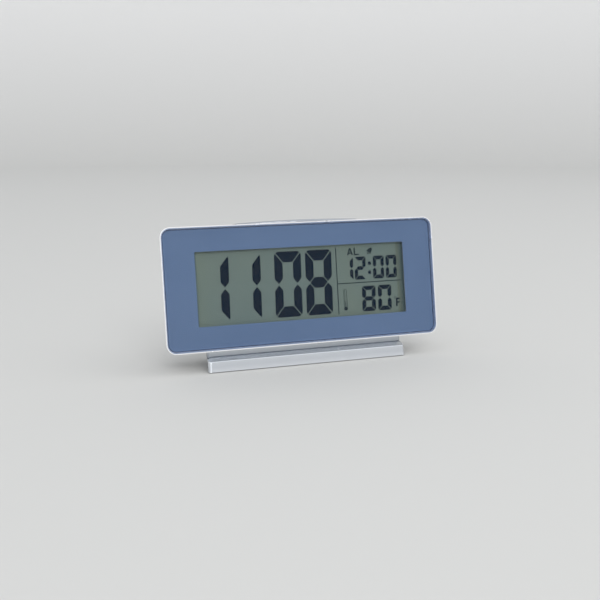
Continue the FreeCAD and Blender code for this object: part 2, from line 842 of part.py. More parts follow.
def make_coil(length, wire, radius, turns):
    """A spring standing along Z, of short straight lengths of square wire."""
    steps = round(turns * COIL_SIDES)
    rings = []
    for step in range(steps + 1):
        turn = 2 * math.pi * step / COIL_SIDES
        outwards = V(math.cos(turn), math.sin(turn), 0)
        middle = outwards * radius + V(0, 0, wire + (length - 2 * wire) * step / steps)
        rings.append([middle + outwards * (x * wire) + V(0, 0, z * wire)
                      for x, z in ((-1, -1), (1, -1), (1, 1), (-1, 1))])
    corners = []
    for first, second in zip(rings, rings[1:]):
        for near, far in ((0, 1), (1, 2), (2, 3), (3, 0)):
            corners.append([first[near], first[far], second[far]])
            corners.append([first[near], second[far], second[near]])
    corners += [rings[0], rings[-1]]
    faces = [Part.Face(Part.makePolygon(around + around[:1])) for around in corners]
    return Part.Solid(Part.Shell(faces))


def make_battery_springs():
    """Two wire springs that press the flat ends of the cells."""
    coil = make_coil(value("spring_length - seat_gap"), value("spring_wire / 2"), value("spring_r"),
                     value("spring_turns"))
    springs = []
    face = value("bay_half - contact_thick")
    for side, height in ((-1, "upper_cell_height"), (1, "lower_cell_height")):
        spring = coil.copy()
        spring.rotate(V(0, 0, 0), V(0, 1, 0), -90 * side)
        spring.translate(V(side * face, value(height), -value("cell_depth")))
        springs.append(spring)
    piece = doc.addObject("Part::Feature", "battery_springs")
    piece.Label = "battery_springs"
    piece.Shape = Part.Compound(springs)
    place(piece, True, ("0", "0", "0"))


def make_lead(name, start, end_x):
    """A wire from a solder tab along X, then round a bend and straight to the board."""
    x0, height, depth0 = [value(size) for size in start]
    bend = value("lead_bend")
    turn_x = value(end_x)
    board = value("board_back")
    side = 1 if turn_x > x0 else -1
    path = Part.Wire([
        Part.LineSegment(V(x0, height, -depth0), V(turn_x - side * bend, height, -depth0)).toShape(),
        Part.Arc(V(turn_x - side * bend, height, -depth0),
                 V(turn_x - side * bend * (1 - math.sin(math.pi / 4)), height,
                   -depth0 + bend * (1 - math.cos(math.pi / 4))),
                 V(turn_x, height, -depth0 + bend)).toShape(),
        Part.LineSegment(V(turn_x, height, -depth0 + bend), V(turn_x, height, -board)).toShape(),
    ])
    centre = V(x0, height, -depth0)
    corners = [centre + V(0, y, z) * value("lead_r") for y, z in ((-1, -1), (1, -1), (1, 1), (-1, 1), (-1, -1))]
    return path.makePipeShell([Part.makePolygon(corners)], True, False)


def make_leads(name, wires):
    piece = doc.addObject("Part::Feature", name)
    piece.Label = name
    solids = [make_lead(name, start, end_x) for start, end_x in wires]
    piece.Shape = Part.Compound(solids) if len(solids) > 1 else solids[0]
    place(piece, True, ("0", "0", "0"))


def make_battery_parts():
    make_battery_door()
    make_cell("upper_cell", "upper_cell_height", 1)
    make_cell("lower_cell", "lower_cell_height", -1)
    make_contact("positive_contact", ["upper_cell_height"], 1, True)
    make_contact("negative_contact", ["lower_cell_height"], 1, True)
    make_contact("bridge_contact", ["lower_cell_height", "upper_cell_height"], -1, False)
    make_battery_springs()
    solder = "tab_depth - lead_r"
    for name, height in (("positive_lead", "upper_cell_height"), ("negative_lead", "lower_cell_height")):
        make_leads(name, [(("bay_half + bay_wall + seat_gap", height, solder), "bay_half + lead_run")])


# Display

def make_display():
    def sheet(name, front, thick, inset, low):
        plate(name, front, f"{front} + {thick}", wide_box(f"glass_width / 2 - {inset}", low, f"glass_top - {inset}"))
    ledge = "glass_bottom + glass_ledge"
    sheet("lcd_front_polarizer", "front_polarizer_front", "polarizer_thick", "polarizer_inset",
          "glass_bottom + polarizer_inset")
    sheet("lcd_front_glass", "front_glass_front", "glass_thick", "0", "glass_bottom")
    sheet("lcd_rear_glass", "rear_glass_front", "glass_thick", "0", ledge)
    sheet("lcd_rear_polarizer", "rear_polarizer_front", "polarizer_thick", "polarizer_inset",
          ledge + " + polarizer_inset")
    make_holder()
    plate("light_guide", "guide_front", "guide_front + guide_thick", guide_outline("guide_gap"))
    plate("light_reflector", "guide_front + guide_thick", "guide_front + guide_thick + reflector_thick",
          guide_outline("guide_gap"))
    plate("zebra_strip", "rear_glass_front", "board_front",
          wide_box("zebra_length / 2", "zebra_bottom", "zebra_bottom + zebra_width"))
    leds = new_body("backlight_leds")
    leds.AllowCompound = True
    slab(leds, "board_front - led_height", "board_front",
         *[led_outline(side, "0") for side in ("-", "")])


def guide_outline(gap):
    return wide_box(f"holder_half - holder_rail - {gap}", f"guide_bottom + {gap}", f"guide_top - {gap}")


def led_outline(side, gap):
    return box(f"{side}led_x - led_size / 2 - {gap}", f"{side}led_x + led_size / 2 + {gap}",
               f"guide_top + seat_gap - {gap}", f"holder_top - seat_gap + {gap}")


def make_holder():
    """The frame between glass and board, cut away below for the rubber connector."""
    body = new_body("lcd_holder")
    step = "zebra_length / 2 + guide_gap"
    outline = polygon(("-holder_half", "holder_bottom"), (f"-({step})", "holder_bottom"),
                      (f"-({step})", "zebra_bottom + zebra_width + guide_gap"),
                      (step, "zebra_bottom + zebra_width + guide_gap"), (step, "holder_bottom"),
                      ("holder_half", "holder_bottom"), ("holder_half", "holder_top"),
                      ("-holder_half", "holder_top"))
    slab(body, "display_back", "board_front", outline, guide_outline("0"))
    recess(body, "board_front - led_height - seat_gap", "board_front",
           *[led_outline(side, "seat_gap") for side in ("-", "")])


# Circuit board and what is on it

def make_board():
    body = new_body("main_board")
    outline = polygon(("-board_width / 2", "board_bottom"), ("board_width / 2", "board_bottom"),
                      ("board_width / 2", "board_top"), ("board_notch_half", "board_top"),
                      ("board_notch_half", "board_notch_bottom"), ("-board_notch_half", "board_notch_bottom"),
                      ("-board_notch_half", "board_top"), ("-board_width / 2", "board_top"))
    slab(body, "board_front", "board_back", outline)
    recess(body, "board_front", "board_back", *board_fixings("board_screw_r + screw_play"))
    chip = new_body("chip_cover")
    slab(chip, "board_back", "board_back + chip_height", many_sided("chip_x", "chip_height_up", "chip_r", 16))
    crystal = new_body("crystal")
    extrude(crystal, "Pad", [circle("crystal_up", "-(board_back + crystal_r)", "crystal_r")],
            "crystal_x", "crystal_length", "YZ_Plane")
    plate("capacitor", "board_back", "board_back + capacitor_height",
          circle("capacitor_x", "capacitor_up", "capacitor_r"))
    make_chip_parts()
    thermistor = new_body("thermistor")
    slab(thermistor, "board_back + thermistor_leg", "board_back + thermistor_leg + 2 * thermistor_r",
         many_sided("thermistor_x", "thermistor_up", "thermistor_r", 8))
    legs = [square(f"thermistor_x {side} thermistor_r / 2", "thermistor_up", "thermistor_wire")
            for side in ("-", "+")]
    slab(thermistor, "board_back", "board_back + thermistor_leg", *legs)


def make_chip_parts():
    body = new_body("chip_parts")
    body.AllowCompound = True
    outlines = []
    for step in range(6):
        x = f"chip_part_x + {step} * chip_part_pitch"
        outlines.append(box(x, f"{x} + chip_part_length", "chip_part_up", "chip_part_up + chip_part_width"))
    slab(body, "board_back", "board_back + chip_part_height", *outlines)


def make_screws():
    cases = new_body("case_screws")
    cases.AllowCompound = True
    slab(cases, "well_seat_depth", "well_seat_depth + screw_head", *case_corners("screw_head_r", screw_head))
    slab(cases, "waist_depth - screw_bite + screw_play", "well_seat_depth", *case_corners("screw_r"))
    boards = new_body("board_screws")
    boards.AllowCompound = True
    slab(boards, "board_back", "board_back + board_screw_head", *board_fixings("board_screw_head_r"))
    slab(boards, "board_front - board_screw_bite + screw_play", "board_back", *board_fixings("board_screw_r"))


# Keys and switches

def make_keys():
    for name, x in key_places():
        key = new_body(name, True, (x, "key_height", "0"))
        slab(key, "key_flange_back", "case_depth + key_proud", circle("0", "0", "key_r"))
        slab(key, "key_flange_back - key_flange_thick", "key_flange_back",
             square("0", "0", "key_r + key_flange"))
        slab(key, "key_stem_front + plunger_gap", "key_flange_back - key_flange_thick",
             square("0", "0", "key_stem_r"))
        plunger = new_body(name + "_plunger", True, (x, "key_height", "0"))
        slab(plunger, "plunger_bottom", "key_stem_front", square("0", "0", "plunger_r"))
    switches = new_body("key_switches")
    switches.AllowCompound = True
    half = "switch_size / 2"
    squares = [box(f"{x} - {half}", f"{x} + {half}", f"key_height - {half}", f"key_height + {half}")
               for name, x in key_places()]
    slab(switches, "board_back", "switch_top", *squares)
    recess(switches, "plunger_bottom - key_travel - slide_gap", "switch_top",
           *[square(x, "key_height", "plunger_r + plunger_gap") for name, x in key_places()])


def make_snooze():
    body = new_body("snooze_bar")
    slab(body, "bar_front", "bar_back", bar_outline)
    top = value("bar_bottom + 1")
    fillet(body, "bar_round", lambda edge: edge.BoundBox.YMin > top and not lies_across(edge))
    bottom = "bar_bottom"
    hollow = wide_box("bar_half - bar_wall", "-(bar_back - bar_wall)", "-(bar_front + bar_wall)")
    extrude(body, "Pocket", [hollow], f"-({bottom})", "bar_top - bar_crown - bar_wall - bar_bottom", "XZ_Plane")
    for side in ("left", "right"):
        near, far = "bar_half - bar_wall", "bar_half + bar_tab"
        edges = (near, far) if side == "right" else (f"-({far})", f"-({near})")
        slab(body, "bar_front + rib_thick", "waist_depth - rib_thick",
             box(*edges, "bar_bottom", "bar_bottom + bar_tab_thick"))
    ceiling = "bar_top - bar_crown - bar_wall / 2"
    extrude(body, "Pad", [square("0", "-bar_stem_depth", "bar_stem_r")], f"-({ceiling})",
            f"{ceiling} - snooze_plunger_top - plunger_gap", "XZ_Plane")
    plunger = new_body("snooze_plunger")
    extrude(plunger, "Pad", [square("0", "-bar_stem_depth", "snooze_plunger_r")], "-snooze_plunger_top",
            "snooze_plunger_top - snooze_plunger_bottom", "XZ_Plane")
    switch = new_body("snooze_switch")
    slab(switch, "board_back", "board_back + snooze_switch_height",
         wide_box("switch_size / 2", "board_notch_bottom - switch_size", "board_notch_bottom"))
    extrude(switch, "Pocket", [square("0", "-bar_stem_depth", "snooze_plunger_r + plunger_gap")],
            "-(snooze_plunger_bottom - bar_travel - slide_gap)",
            "board_notch_bottom - snooze_plunger_bottom + bar_travel + slide_gap", "XZ_Plane")


def bar_outline(sketch):
    """Front view of the snooze bar: flat below and a shallow arch above."""
    half, bottom = value("bar_half"), value("bar_bottom")
    shoulder, crest = value("bar_top - bar_crown"), value("bar_top")
    radius = (half ** 2 + value("bar_crown") ** 2) / (2 * value("bar_crown"))
    corners = [V(-half, shoulder, 0), V(-half, bottom, 0), V(half, bottom, 0), V(half, shoulder, 0)]
    lines = [sketch.addGeometry(Part.LineSegment(*pair)) for pair in zip(corners, corners[1:])]
    lean = math.asin(half / radius)
    whole = Part.Circle(V(0, crest - radius, 0), V(0, 0, 1), radius)
    arch = sketch.addGeometry(Part.ArcOfCircle(whole, math.pi / 2 - lean, math.pi / 2 + lean))
    for first, second in ((0, 1), (1, 2)):
        sketch.addConstraint(Sketcher.Constraint("Coincident", lines[first], 2, lines[second], 1))
    sketch.addConstraint(Sketcher.Constraint("Coincident", lines[2], 2, arch, 1))
    sketch.addConstraint(Sketcher.Constraint("Coincident", arch, 2, lines[0], 1))
    constrain(sketch, "DistanceX", -1, 1, lines[0], 1, "-bar_half")
    constrain(sketch, "DistanceY", -1, 1, lines[0], 1, "bar_top - bar_crown")
    constrain(sketch, "DistanceX", -1, 1, lines[1], 1, "-bar_half")
    constrain(sketch, "DistanceY", -1, 1, lines[1], 1, "bar_bottom")
    constrain(sketch, "DistanceX", -1, 1, lines[2], 1, "bar_half")
    constrain(sketch, "DistanceY", -1, 1, lines[2], 1, "bar_bottom")
    constrain(sketch, "DistanceX", -1, 1, lines[2], 2, "bar_half")
    constrain(sketch, "DistanceY", -1, 1, lines[2], 2, "bar_top - bar_crown")
    constrain(sketch, "Radius", arch, "(bar_half ^ 2 + bar_crown ^ 2) / (2 * bar_crown)")


def lies_across(edge):
    """True for an edge that crosses the bar from front to back."""
    return runs_along(edge, "Z")


def make_alarm_slide():
    middle = "slide_x - slide_travel / 2"
    slide = new_body("alarm_slide", True, (middle, "slide_height", "0"))
    slab(slide, "back_inside - slide_gap - slide_plate_thick", "back_inside - slide_gap",
         wide_box("slide_plate_length / 2", "-slide_plate_width / 2", "slide_plate_width / 2"))
    slab(slide, "back_inside - slide_gap", "case_depth + slide_knob_proud",
         wide_box("slide_knob_length / 2", "-slide_knob_width / 2", "slide_knob_width / 2"))
    leg = "lever_length / 2 + seat_gap + rib_thick"
    slab(slide, "slide_can_top + slide_gap", "back_inside - slide_gap - slide_plate_thick",
         wide_box(leg, "-slide_knob_width / 2", "slide_knob_width / 2"))
    recess(slide, "slide_can_top + slide_gap", "slide_can_top + lever_height + slide_gap",
           wide_box("lever_length / 2 + seat_gap", "-slide_knob_width", "slide_knob_width"))
    lever = new_body("alarm_switch_lever", True, (middle, "slide_height", "0"))
    slab(lever, "slide_can_top - lever_foot", "slide_can_top + lever_height",
         wide_box("lever_length / 2", "-lever_width / 2", "lever_width / 2"))
    can = new_body("alarm_switch", True, ("slide_x", "slide_height", "0"))
    slab(can, "board_back", "slide_can_top",
         wide_box("slide_can_length / 2", "-slide_can_width / 2", "slide_can_width / 2"))
    slot_half = "slide_travel / 2 + lever_length / 2 + slide_gap"
    recess(can, "slide_can_top - lever_foot - slide_gap", "slide_can_top",
           wide_box(slot_half, "-lever_width / 2 - slide_gap", "lever_width / 2 + slide_gap"))


def make_buzzer():
    plate("buzzer", "buzzer_face - buzzer_thick", "buzzer_face",
          many_sided("buzzer_x", "buzzer_height", "buzzer_r", 36))
    wires = []
    for height in ("buzzer_height + buzzer_r / 4", "buzzer_height - buzzer_r / 4"):
        start = ("buzzer_x", height, "buzzer_face - buzzer_thick - lead_r")
        wires.append((start, "buzzer_x + lead_run"))
    make_leads("buzzer_leads", wires)


# Foot

def tapered_half(y, inset):
    """Half the foot's width at a place from front to back, less an inset."""
    return f"foot_width / 2 - foot_slope * ({y} - foot_front_y) - {inset}"


def extrude_lean(body, kind, outlines, up, length):
    """Pads up or pockets down from a plane that is square to the case's height direction."""
    extrude(body, kind, outlines, "0", length, lean_at=up)


def make_foot_blank():
    """The foot before its neck is cut to the case that it carries."""
    body = new_body("foot_blank", False)
    riser_top = "plate_y + riser_foot + riser_lean"
    profile = polygon(("foot_front_y", "pad_proud"), ("plate_y - lip_top_front", "lip_top"),
                      ("plate_y + riser_foot", "riser_foot_height"), (riser_top, "neck_top"),
                      ("plate_y + neck_back", "neck_top"), ("plate_y + neck_back", "lip_top"),
                      ("foot_back_y", "lip_top"), ("foot_back_y", "pad_proud"))
    extrude(body, "Pad", [profile], "0", "foot_width", "YZ_Plane", both_ways=True)
    for side in ("-", ""):
        corner = f"{side}foot_width / 2"
        wedge = polygon((corner, "foot_front_y"), (corner, "foot_back_y"),
                        (f"{side}({tapered_half('foot_back_y', '0')})", "foot_back_y"))
        extrude(body, "Pocket", [wedge], "neck_top", "neck_top")
    round_foot(body)
    front_half = tapered_half("cavity_front", "foot_wall")
    back_half = tapered_half("cavity_back", "foot_wall")
    cavity = polygon((f"-({front_half})", "cavity_front"), (front_half, "cavity_front"),
                     (back_half, "cavity_back"), (f"-({back_half})", "cavity_back"))
    extrude(body, "Pocket", [cavity], "neck_top", "neck_top - pad_proud - foot_wall")
    spots = [(side + "foot_screw_x", "foot_screw_depth") for side in ("-", "")]
    for spot in spots:
        extrude_lean(body, "Pad", [many_sided(*spot, "screw_head_r + screw_play + well_wall", 8)],
                     "foot_floor", "foot_face + foot_seat - foot_floor")
    extrude_lean(body, "Pocket", [circle(*spot, "screw_head_r + screw_play") for spot in spots],
                 "well_top", "well_top - foot_floor + foot_wall")
    extrude_lean(body, "Pocket", [many_sided(*spot, "screw_r + screw_play") for spot in spots],
                 "foot_face + foot_seat", "2 * foot_seat")
    return body


def round_foot(body):
    back, front = value("foot_back_y"), value("plate_y - lip_top_front")
    riser, riser_top = value("plate_y + riser_foot"), value("plate_y + riser_foot + riser_lean")

    def at_back(edge):
        return runs_along(edge, "Z") and abs(edge.BoundBox.YMin - back) < 1e-4

    def at_front(edge):
        spans = edge.BoundBox
        on_lip = spans.YMax < front + 1e-4
        on_riser = spans.YMin > riser - 1e-4 and spans.YMax < riser_top + 1e-4
        return spans.XLength < spans.ZLength and (on_lip or on_riser)

    def at_lip(edge):
        spans = edge.BoundBox
        return runs_along(edge, "X") and abs(spans.YMin - front) < 1e-4

    fillet(body, "foot_back_corner", at_back)
    fillet(body, "foot_corner", at_front)
    fillet(body, "lip_round", at_lip)


def foot_pad_outlines():
    return [many_sided(side + "foot_pad_x", f"foot_front_y + {y}", "foot_pad_r", 12)
            for side in ("-", "") for y in ("foot_pad_front", "foot_pad_back")]


def make_foot():
    blank = make_foot_blank()
    form = new_body("case_form")
    add_front_form(form)
    add_rear_form(form)
    foot = doc.addObject("Part::Cut", "foot")
    foot.Base = blank
    foot.Tool = form
    foot.Label = "foot"
    pads = new_body("foot_pads", False)
    pads.AllowCompound = True
    extrude(pads, "Pad", foot_pad_outlines(), "0", "pad_proud")
    screws = new_body("foot_screws")
    screws.AllowCompound = True
    heads = [screw_head(side + "foot_screw_x", "-foot_screw_depth", "screw_head_r") for side in ("-", "")]
    shanks = [many_sided(side + "foot_screw_x", "-foot_screw_depth", "screw_r") for side in ("-", "")]
    extrude(screws, "Pad", heads, "-well_top", "screw_head", "XZ_Plane")
    extrude(screws, "Pad", shanks, "-(foot_boss_top - wall)", "foot_boss_top - wall - well_top", "XZ_Plane")


# Everything

FORMS = ("foot_blank", "case_form")


def sub_parts():
    kinds = ("PartDesign::Body", "Part::Feature", "Part::Cut")
    return [item for item in doc.Objects if item.TypeId in kinds and item.Label not in FORMS]


def check_model():
    for item in doc.Objects:
        if "Invalid" in item.State or "Error" in item.State:
            raise ValueError(f"{item.Name} did not compute: {item.State}")
    for piece in sub_parts():
        if piece.Shape.isNull() or not piece.Shape.isValid():
            raise ValueError(f"{piece.Label} has no valid shape")


def write_parts():
    os.makedirs("parts", exist_ok=True)
    for piece in sub_parts():
        piece.Shape.exportStep(os.path.join("parts", piece.Label + ".step"))


fill_sheet()
make_face_plate()
make_front_case()
make_rear_case()
make_battery_parts()
make_display()
make_board()
make_screws()
make_keys()
make_snooze()
make_alarm_slide()
make_buzzer()
make_foot()
doc.recompute()
check_model()
write_parts()
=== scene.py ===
import json
import math

import bmesh
import bpy
from mathutils import Matrix, Vector


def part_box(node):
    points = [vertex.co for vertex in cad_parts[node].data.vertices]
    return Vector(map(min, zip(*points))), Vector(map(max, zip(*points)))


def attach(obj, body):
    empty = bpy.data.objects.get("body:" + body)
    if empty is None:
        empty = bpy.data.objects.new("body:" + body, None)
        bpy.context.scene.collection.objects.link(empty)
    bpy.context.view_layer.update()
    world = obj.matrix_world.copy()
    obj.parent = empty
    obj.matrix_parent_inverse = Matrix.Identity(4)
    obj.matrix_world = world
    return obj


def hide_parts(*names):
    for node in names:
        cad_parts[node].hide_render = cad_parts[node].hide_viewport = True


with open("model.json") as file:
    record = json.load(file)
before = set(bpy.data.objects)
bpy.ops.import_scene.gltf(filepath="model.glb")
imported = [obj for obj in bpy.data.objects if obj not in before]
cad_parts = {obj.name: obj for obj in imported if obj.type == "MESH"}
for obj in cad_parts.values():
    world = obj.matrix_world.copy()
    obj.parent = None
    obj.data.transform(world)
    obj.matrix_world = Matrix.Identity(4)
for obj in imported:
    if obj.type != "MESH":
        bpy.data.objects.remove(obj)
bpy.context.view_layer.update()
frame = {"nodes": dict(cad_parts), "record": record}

# Lengths are written in millimetres and made into metres by MM.
# The plate's frame: x to the right, v up along the face plate, d backwards from its front face.
MM = 0.001
TILT = math.radians(9.9)
LENS_THICK = 1.5
LENS_HALF, LENS_HEIGHT, LENS_CORNER = 70, 58, 4
lens_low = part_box("front_lens")[0] / MM
PLATE_Y = lens_low.y
PLATE_Z = lens_low.z + LENS_THICK * math.sin(TILT)
WHITE = (1, 1, 1)


def on_plate(x, v, d):
    """A place in the plate's frame, in world metres."""
    return Vector((
        x,
        PLATE_Y + v * math.sin(TILT) + d * math.cos(TILT),
        PLATE_Z + v * math.cos(TILT) - d * math.sin(TILT),
    )) * MM


def depth_of(y, z):
    """How far behind the face plate's front a world point lies, all in millimetres."""
    return (y - PLATE_Y) * math.cos(TILT) - (z - PLATE_Z) * math.sin(TILT)


def height_of(y, z):
    """How far up the plate a world point lies, all in millimetres."""
    return (y - PLATE_Y) * math.sin(TILT) + (z - PLATE_Z) * math.cos(TILT)


PLATE = Matrix.Translation(on_plate(0, 0, 0)) @ Matrix((
    (MM, 0, 0, 0),
    (0, MM * math.sin(TILT), MM * math.cos(TILT), 0),
    (0, MM * math.cos(TILT), -MM * math.sin(TILT), 0),
    (0, 0, 0, 1),
))


# Camera and light

def make_camera():
    """The photo's view, as fitted to the face plate's corners and the foot."""
    data = bpy.data.cameras.new("camera")
    data.sensor_width = 36
    data.lens = 62.22
    data.clip_start = 0.01
    camera = bpy.data.objects.new("camera", data)
    camera.location = Vector((-179.5, -478.4 + PLATE_Y + 16.34, 125.7)) * MM
    camera.rotation_euler = (math.radians(90 - 10.74), 0, math.radians(-20.73))
    bpy.context.scene.collection.objects.link(camera)
    bpy.context.scene.camera = camera


def make_lamp(name, place, size, power):
    """A round soft lamp that looks at the clock. Its place and size are in metres."""
    data = bpy.data.lights.new(name, "AREA")
    data.shape = "DISK"
    data.size = size
    data.energy = power
    lamp = bpy.data.objects.new(name, data)
    lamp.location = place
    aim = Vector((0, 0, 0.03)) - Vector(place)
    lamp.rotation_euler = aim.to_track_quat("-Z", "Y").to_euler()
    bpy.context.scene.collection.objects.link(lamp)


def make_world():
    """An even, slightly cool light from all round."""
    world = bpy.data.worlds.new("studio")
    world.use_nodes = True
    back = world.node_tree.nodes["Background"]
    back.inputs["Color"].default_value = (0.95, 0.97, 1.0, 1)
    back.inputs["Strength"].default_value = 0.92
    bpy.context.scene.world = world


# Materials

class Nodes:
    """Shorthand for building a material's node tree."""

    def __init__(self, name):
        self.material = bpy.data.materials.new(name)
        self.material.use_nodes = True
        self.tree = self.material.node_tree
        self.shader = self.tree.nodes["Principled BSDF"]

    def add(self, kind, **sockets):
        node = self.tree.nodes.new("ShaderNode" + kind)
        for name, value in sockets.items():
            self.put(node, name.replace("_", " "), value)
        return node

    def put(self, node, socket, value):
        target = node.inputs[socket]
        if isinstance(value, bpy.types.NodeSocket):
            self.tree.links.new(value, target)
        else:
            target.default_value = value

    def in_millimetres(self, stretch=WHITE):
        """The place on the object in millimetres, so that a grain has the same size on every piece."""
        mapping = self.add("Mapping")
        self.put(mapping, "Vector", self.add("TexCoord").outputs["Object"])
        self.put(mapping, "Scale", [1 / MM * part for part in stretch])
        return mapping.outputs[0]

    def noise(self, scale, detail=3.0, stretch=WHITE):
        noise = self.add("TexNoise", Scale=scale, Detail=detail)
        self.put(noise, "Vector", self.in_millimetres(stretch))
        return noise.outputs["Fac"]

    def place(self, axis):
        """Where a point lies along an axis, in metres."""
        parts = self.add("SeparateXYZ")
        self.put(parts, 0, self.add("TexCoord").outputs["Object"])
        return parts.outputs[axis]

    def ramp(self, factor, stops):
        node = self.add("ValToRGB")
        self.put(node, "Fac", factor)
        points = node.color_ramp.elements
        while len(points) < len(stops):
            points.new(0.5)
        for point, (place, colour) in zip(points, stops):
            point.position = place
            point.color = (*colour, 1)
        return node.outputs["Color"]

    def spread(self, factor, low, high):
        """A number that follows a factor from low to high."""
        node = self.add("MapRange")
        self.put(node, "Value", factor)
        self.put(node, "To Min", low)
        self.put(node, "To Max", high)
        return node.outputs["Result"]

    def blended(self, kind, factor, first, second):
        """Two colours, blended by the name of the kind."""
        node = self.add("Mix")
        node.data_type = "RGBA"
        node.blend_type = kind
        self.put(node, "Factor", factor)
        self.put(node, 6, first)
        self.put(node, 7, second)
        return node.outputs[2]

    def multiplied(self, first, second):
        return self.blended("MULTIPLY", 1.0, first, second)

    def sums(self, kind, first, second=0.0):
        """The result of two numbers, by the name of the operation."""
        node = self.add("Math")
        node.operation = kind
        self.put(node, 0, first)
        self.put(node, 1, second)
        return node.outputs[0]

    def along(self, direction):
        """How far a point lies along a direction, in millimetres from the world's origin."""
        node = self.add("VectorMath")
        node.operation = "DOT_PRODUCT"
        self.put(node, 0, self.add("TexCoord").outputs["Object"])
        self.put(node, 1, Vector(direction) / MM)
        return node.outputs["Value"]

    def spread_from(self, factor, low, high):
        """A number that goes from 0 to 1 as a factor goes from low to high."""
        node = self.add("MapRange")
        self.put(node, "Value", factor)
        self.put(node, "From Min", low)
        self.put(node, "From Max", high)
        return node.outputs["Result"]

    def bump(self, height, strength, distance):
        node = self.add("Bump", Strength=strength, Distance=distance * MM)
        self.put(node, "Height", height)
        self.put(self.shader, "Normal", node.outputs["Normal"])


def plastic(name, colour, rough, grain=4.0, grain_depth=0.01, vary=0.04):
    """Moulded plastic: a fine spark-eroded grain and slight changes of tone."""
    n = Nodes(name)
    tone = n.noise(0.12, 2.0)
    dark = [part * (1 - vary) for part in colour]
    light = [min(part * (1 + vary), 1) for part in colour]
    n.put(n.shader, "Base Color", n.ramp(tone, [(0.3, dark), (0.7, light)]))
    n.put(n.shader, "Roughness", n.spread(tone, rough - 0.05, rough + 0.05))
    n.bump(n.noise(grain, 2.0), 0.35, grain_depth)
    return n.material


def flaked(n, paint, flakes, shine, rough, coat=0.25):
    """Silver paint's surface: rough holds its least and its greatest roughness."""
    n.put(n.shader, "Base Color", paint)
    n.put(n.shader, "Metallic", shine)
    n.put(n.shader, "Roughness", n.spread(n.noise(0.08, 2.0), *rough))
    n.put(n.shader, "Coat Weight", coat)
    n.put(n.shader, "Coat Roughness", 0.2)
    n.bump(flakes, 0.25, 0.004)
    return n.material


def silver_paint(name, colour, rough, shine=0.85, rim=False, coat=0.25):
    """Plastic sprayed with silver paint: metal flakes under a satin clear coat.
    A rim gets painted shade in the narrow gap beside the face plate, where the plate shades it."""
    joint_width, joint_depth = 0.5, 2.2
    n = Nodes(name)
    flakes = n.noise(9.0, 2.0)
    dark = [part * 0.93 for part in colour]
    light = [min(part * 1.05, 1) for part in colour]
    paint = n.ramp(flakes, [(0.35, dark), (0.65, light)])
    if rim:
        # Painted shade: the rim's front is darkened to a blue grey within joint_width of the face plate,
        # where the plate shades it.
        beside = n.sums("GREATER_THAN", inside_plate(n), -joint_width)
        in_front = n.sums("LESS_THAN", plate_depth(n), joint_depth)
        joint_shade = n.ramp(n.sums("MULTIPLY", beside, in_front), [(0.0, WHITE), (1.0, (0.36, 0.42, 0.56))])
        paint = n.multiplied(paint, joint_shade)
    return flaked(n, paint, flakes, shine, (rough - 0.03, rough + 0.05), coat)


def foot_paint(name):
    """The foot's silver paint, with painted shade on the riser and painted shade and reflection on the ledge
    in front of it, where the case above shades them and the ledge mirrors the case's dark underside.
    """
    ledge_start, riser_start, riser_face = PLATE_Y - 3.0, PLATE_Y + 1.0, PLATE_Y + 1.6
    riser_low, riser_high = 6.2, 11.0
    n = Nodes(name)
    flakes = n.noise(9.0, 2.0)
    paint = n.ramp(flakes, [(0.35, (0.83, 0.86, 0.90)), (0.65, (0.92, 0.95, 0.98))])
    # Painted shade on the riser: darkest just above the ledge, lighter towards its top, and never as light
    # as the lip.
    climb = n.spread_from(n.place("Z"), riser_low * MM, riser_high * MM)
    riser = n.ramp(climb, [
        (0.0, (0.50, 0.51, 0.53)), (0.14, (0.38, 0.40, 0.43)), (0.9, (0.72, 0.73, 0.74))])
    back = n.place("Y")
    on_riser = n.spread_from(back, riser_start * MM, riser_face * MM)
    riser = n.blended("MIX", on_riser, (*WHITE, 1), riser)
    # Painted reflection and shade on the ledge: a darker band across it, where it mirrors the case's dark
    # underside.
    on_ledge = n.spread_from(back, ledge_start * MM, riser_start * MM)
    ledge = n.ramp(on_ledge, [(0.0, WHITE), (0.3, (0.72, 0.73, 0.75)), (1.0, WHITE)])
    return flaked(n, n.multiplied(n.multiplied(paint, riser), ledge), flakes, 0.9, (0.16, 0.22))


def metal(name, colour, rough, stretch=WHITE, scale=3.0):
    """Bare metal with fine brush marks."""
    n = Nodes(name)
    brush = n.noise(scale, 4.0, stretch)
    dark = [part * 0.85 for part in colour]
    n.put(n.shader, "Base Color", n.ramp(brush, [(0.3, dark), (0.7, colour)]))
    n.put(n.shader, "Metallic", 1.0)
    n.put(n.shader, "Roughness", n.spread(brush, rough - 0.08, rough + 0.1))
    n.bump(brush, 0.2, 0.004)
    return n.material


def clear_acrylic(name):
    """Clear acrylic: nearly all see-through, with the gloss of its two faces, which grows at a low angle."""
    straight, grazing = 0.0083, 0.9
    n = Nodes(name)
    clear = n.add("BsdfTransparent", Color=(0.985, 0.992, 1.0, 1))
    gloss = n.add("BsdfGlossy", Color=(*WHITE, 1), Roughness=0.05)
    facing = n.add("LayerWeight", Blend=0.5).outputs["Facing"]
    mix = n.add("MixShader")
    n.put(mix, 0, n.sums("ADD", n.sums("MULTIPLY", n.sums("POWER", facing, 5.0), grazing), straight))
    n.put(mix, 1, clear.outputs[0])
    n.put(mix, 2, gloss.outputs[0])
    n.put(n.tree.nodes["Material Output"], "Surface", mix.outputs[0])
    n.tree.nodes.remove(n.shader)
    return n.material


